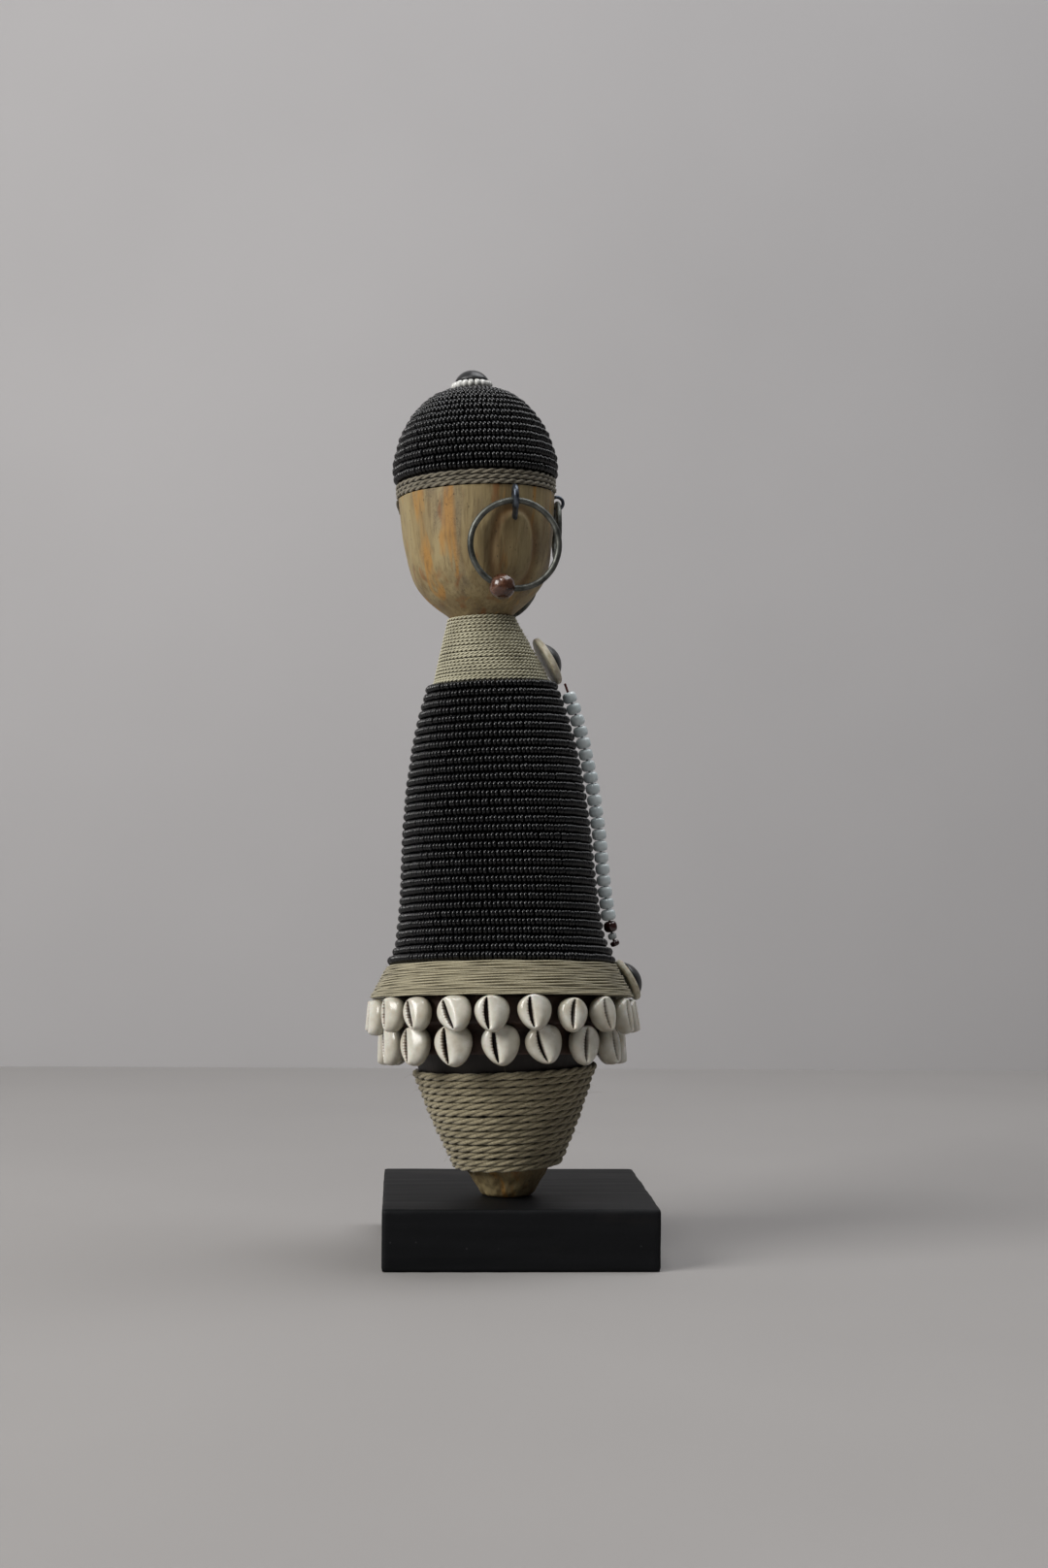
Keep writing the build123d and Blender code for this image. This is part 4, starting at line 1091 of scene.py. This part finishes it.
def eye_base(angle, height, standoff, twist=0.0):
    """The middle of an eye on the head, X pointing away from the head along the eye's plane."""
    surface = float(np.interp(height, *zip(*HEAD_OUTLINE)))
    return (
        HEAD
        @ Matrix.Rotation(math.radians(angle), 4, "Z")
        @ Matrix.Translation((surface * MM, 0, height * MM))
        @ Matrix.Rotation(math.radians(twist), 4, "Z")
        @ Matrix.Translation((standoff * MM, 0, 0))
    )


def wire_eye(base, radius, wire, leave, drop, shank):
    """A wire loop just short of closing, whose shank leaves it at an angle and slopes into the head."""
    start = np.array((math.cos(math.radians(leave)), 0, math.sin(math.radians(leave)))) * radius
    inward = np.array((-math.cos(math.radians(drop)), 0, -math.sin(math.radians(drop))))
    tail = [start + inward * shank * (1 - share) for share in np.linspace(0, 0.93, 14)]
    turns = math.radians(leave) + np.linspace(0.1, 2 * math.pi - 0.22, 64)
    loop = [(radius * math.cos(turn), 0, radius * math.sin(turn)) for turn in turns]
    path = np.array(tail + loop) * MM
    tangents = np.gradient(path, axis=0)
    tangents /= np.linalg.norm(tangents, axis=1, keepdims=True)
    across = np.tile((0.0, 1.0, 0.0), (len(path), 1))
    points, faces = tube(path, across, np.cross(tangents, across), wire / 2 * 0.97 * MM, 14)
    return moved(points, base), faces


def bored_bead(node, centre, axis, width, bore):
    """A round bead on a ring, its bore along the ring there."""
    middle = ring_centre(node)
    outward = (middle - centre).normalized()
    along = Vector(axis).normalized().cross(outward)
    side = outward.cross(along)
    turn = Matrix((side, outward, along)).transposed().to_4x4()
    start = math.asin(bore / width)
    profile = [
        (width / 2 * math.sin(at), -width / 2 * math.cos(at)) for at in np.linspace(start, math.pi - start, 18)
    ]
    end = profile[-1][1]
    profile += [(bore / 2 * 1.0, end * (1 - 2 * share)) for share in (0.1, 0.5, 0.9)]
    points, faces = turned_ring([(radius * MM, z * MM) for radius, z in profile], 40)
    points = points * (1 + 0.02 * ripple_at(points, FOOT_RELIEF)[:, None])
    return moved(points, Matrix.Translation(middle) @ turn), faces


def make_rings():
    """Ear rings with a bead each, the face ring, and the eyes they hang in."""
    ring_metal = metal_material("ring_iron", (0.045, 0.047, 0.043), (0.150, 0.155, 0.140), 0.46)
    eye_metal = metal_material("eye_steel", (0.030, 0.036, 0.048), (0.120, 0.140, 0.170), 0.34)
    glass = brown_bead_material()
    for side, eye in (("right", (-69.0, 36.1, 4.6, -24.0)), ("left", (70.0, 32.8, 4.6, 0.0))):
        node = f"{side}_ear_ring"
        base = eye_base(*eye)
        centre = ring_centre(node)
        outward = base.to_3x3() @ Vector((1, 0, 0))
        axis = Vector((outward.x, outward.y, 0)).normalized()
        points, faces = wire_loop(centre, axis, RING_RADIUS * MM, RING_WIRE * MM, 0.14 * MM)
        make_piece(f"{side}_wire_ring", points, faces, ring_metal, node, body=f"{side}_ring")
        points, faces = wire_eye(base, EYE_RADIUS, EYE_WIRE, 270, 25, 11.5)
        make_piece(f"{side}_eye", points, faces, eye_metal, f"{side}_screw_eye")
        points, faces = bored_bead(f"{side}_ring_bead", centre, axis, 8.5, RING_WIRE + 0.2)
        make_piece(
            f"{side}_glass_bead", points, faces, glass, f"{side}_ring_bead", body=f"{side}_bead"
        )
    heading = math.radians(FACE_RING_TURN)
    axis = (math.cos(heading), math.sin(heading), 0)
    points, faces = wire_loop(
        ring_centre("face_ring"), axis, FACE_RING_RADIUS * MM, FACE_RING_WIRE * MM, 0.10 * MM
    )
    make_piece("small_wire_ring", points, faces, ring_metal, "face_ring", body="face_ring")
    points, faces = wire_eye(eye_base(0, 38.6, 1.3), 2.1, 1.2, 180, 0, 6.0)
    make_piece("face_eye", points, faces, eye_metal, "face_staple")


# ---------------------------------------------------------------- the stand and what the CAD model gives

def make_stand():
    """The square block, its faces a little uneven and its edges worn."""
    low, high = (Vector(corner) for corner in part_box("stand_block"))
    half, middle = np.array((high - low) / 2), np.array((high + low) / 2)
    steps = 72
    parts = []
    for axis in range(3):
        first, second = (axis + 1) % 3, (axis + 2) % 3
        for sign in (-1, 1):
            counts = [max(8, int(steps * half[direction] / half.max())) for direction in (first, second)]
            u, v = np.meshgrid(*(np.linspace(-1, 1, count + 1) for count in counts), indexing="ij")
            points = np.empty((u.size, 3))
            points[:, axis], points[:, first], points[:, second] = sign, u.ravel(), v.ravel()
            row = counts[1] + 1
            faces = []
            for i in range(counts[0]):
                for j in range(counts[1]):
                    face = (i * row + j, (i + 1) * row + j, (i + 1) * row + j + 1, i * row + j + 1)
                    faces.append(face if sign > 0 else face[::-1])
            parts.append((points * half, faces))
    points, faces = joined(parts)
    corner = 0.8 * MM * (1 + 0.35 * ripple_at(points, HEAD_RELIEF))[:, None]
    inner = np.clip(points, -(half - corner), half - corner)
    away = points - inner
    distance = np.linalg.norm(away, axis=1, keepdims=True)
    points = inner + away / np.maximum(distance, 1e-9) * np.minimum(corner, distance)
    points = points * (1 - 0.0012 * (1 + ripple_at(points, STAND_RELIEF))[:, None])
    points[:, 2] = np.maximum(points[:, 2], -half[2])
    piece = make_piece("ebonised_block", points + middle, faces, black_wood_material(), "stand_block")
    clean = bmesh.new()
    clean.from_mesh(piece.data)
    bmesh.ops.remove_doubles(clean, verts=clean.verts, dist=0.02 * MM)
    clean.to_mesh(piece.data)
    clean.free()


def finish_cad_nodes():
    """Materials for the CAD pieces that keep their own shape."""
    thread = fibre_material("sewing_fibre", (0.030, 0.018, 0.012), (0.075, 0.050, 0.032), 0.0003)
    red = fibre_material("red_fibre", (0.060, 0.012, 0.010), (0.150, 0.034, 0.026), 0.0003)
    lining = fibre_material("lining_fibre", (0.006, 0.006, 0.007), (0.016, 0.015, 0.015), 0.0005)
    screw = metal_material("screw_steel", (0.18, 0.18, 0.18), (0.42, 0.42, 0.42), 0.35)
    for node, material in (
        ("upper_shell_stitches", thread),
        ("lower_shell_stitches", thread),
        ("strand_thread", red),
        ("cap_lining", lining),
        ("stand_screw", screw),
    ):
        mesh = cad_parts[node].data
        mesh.materials.clear()
        mesh.materials.append(material)


make_camera()
make_light()
make_stage()
make_stand()
make_carving()
make_windings()
make_wound_beads()
make_skirt()
make_trim()
make_rings()
finish_cad_nodes()
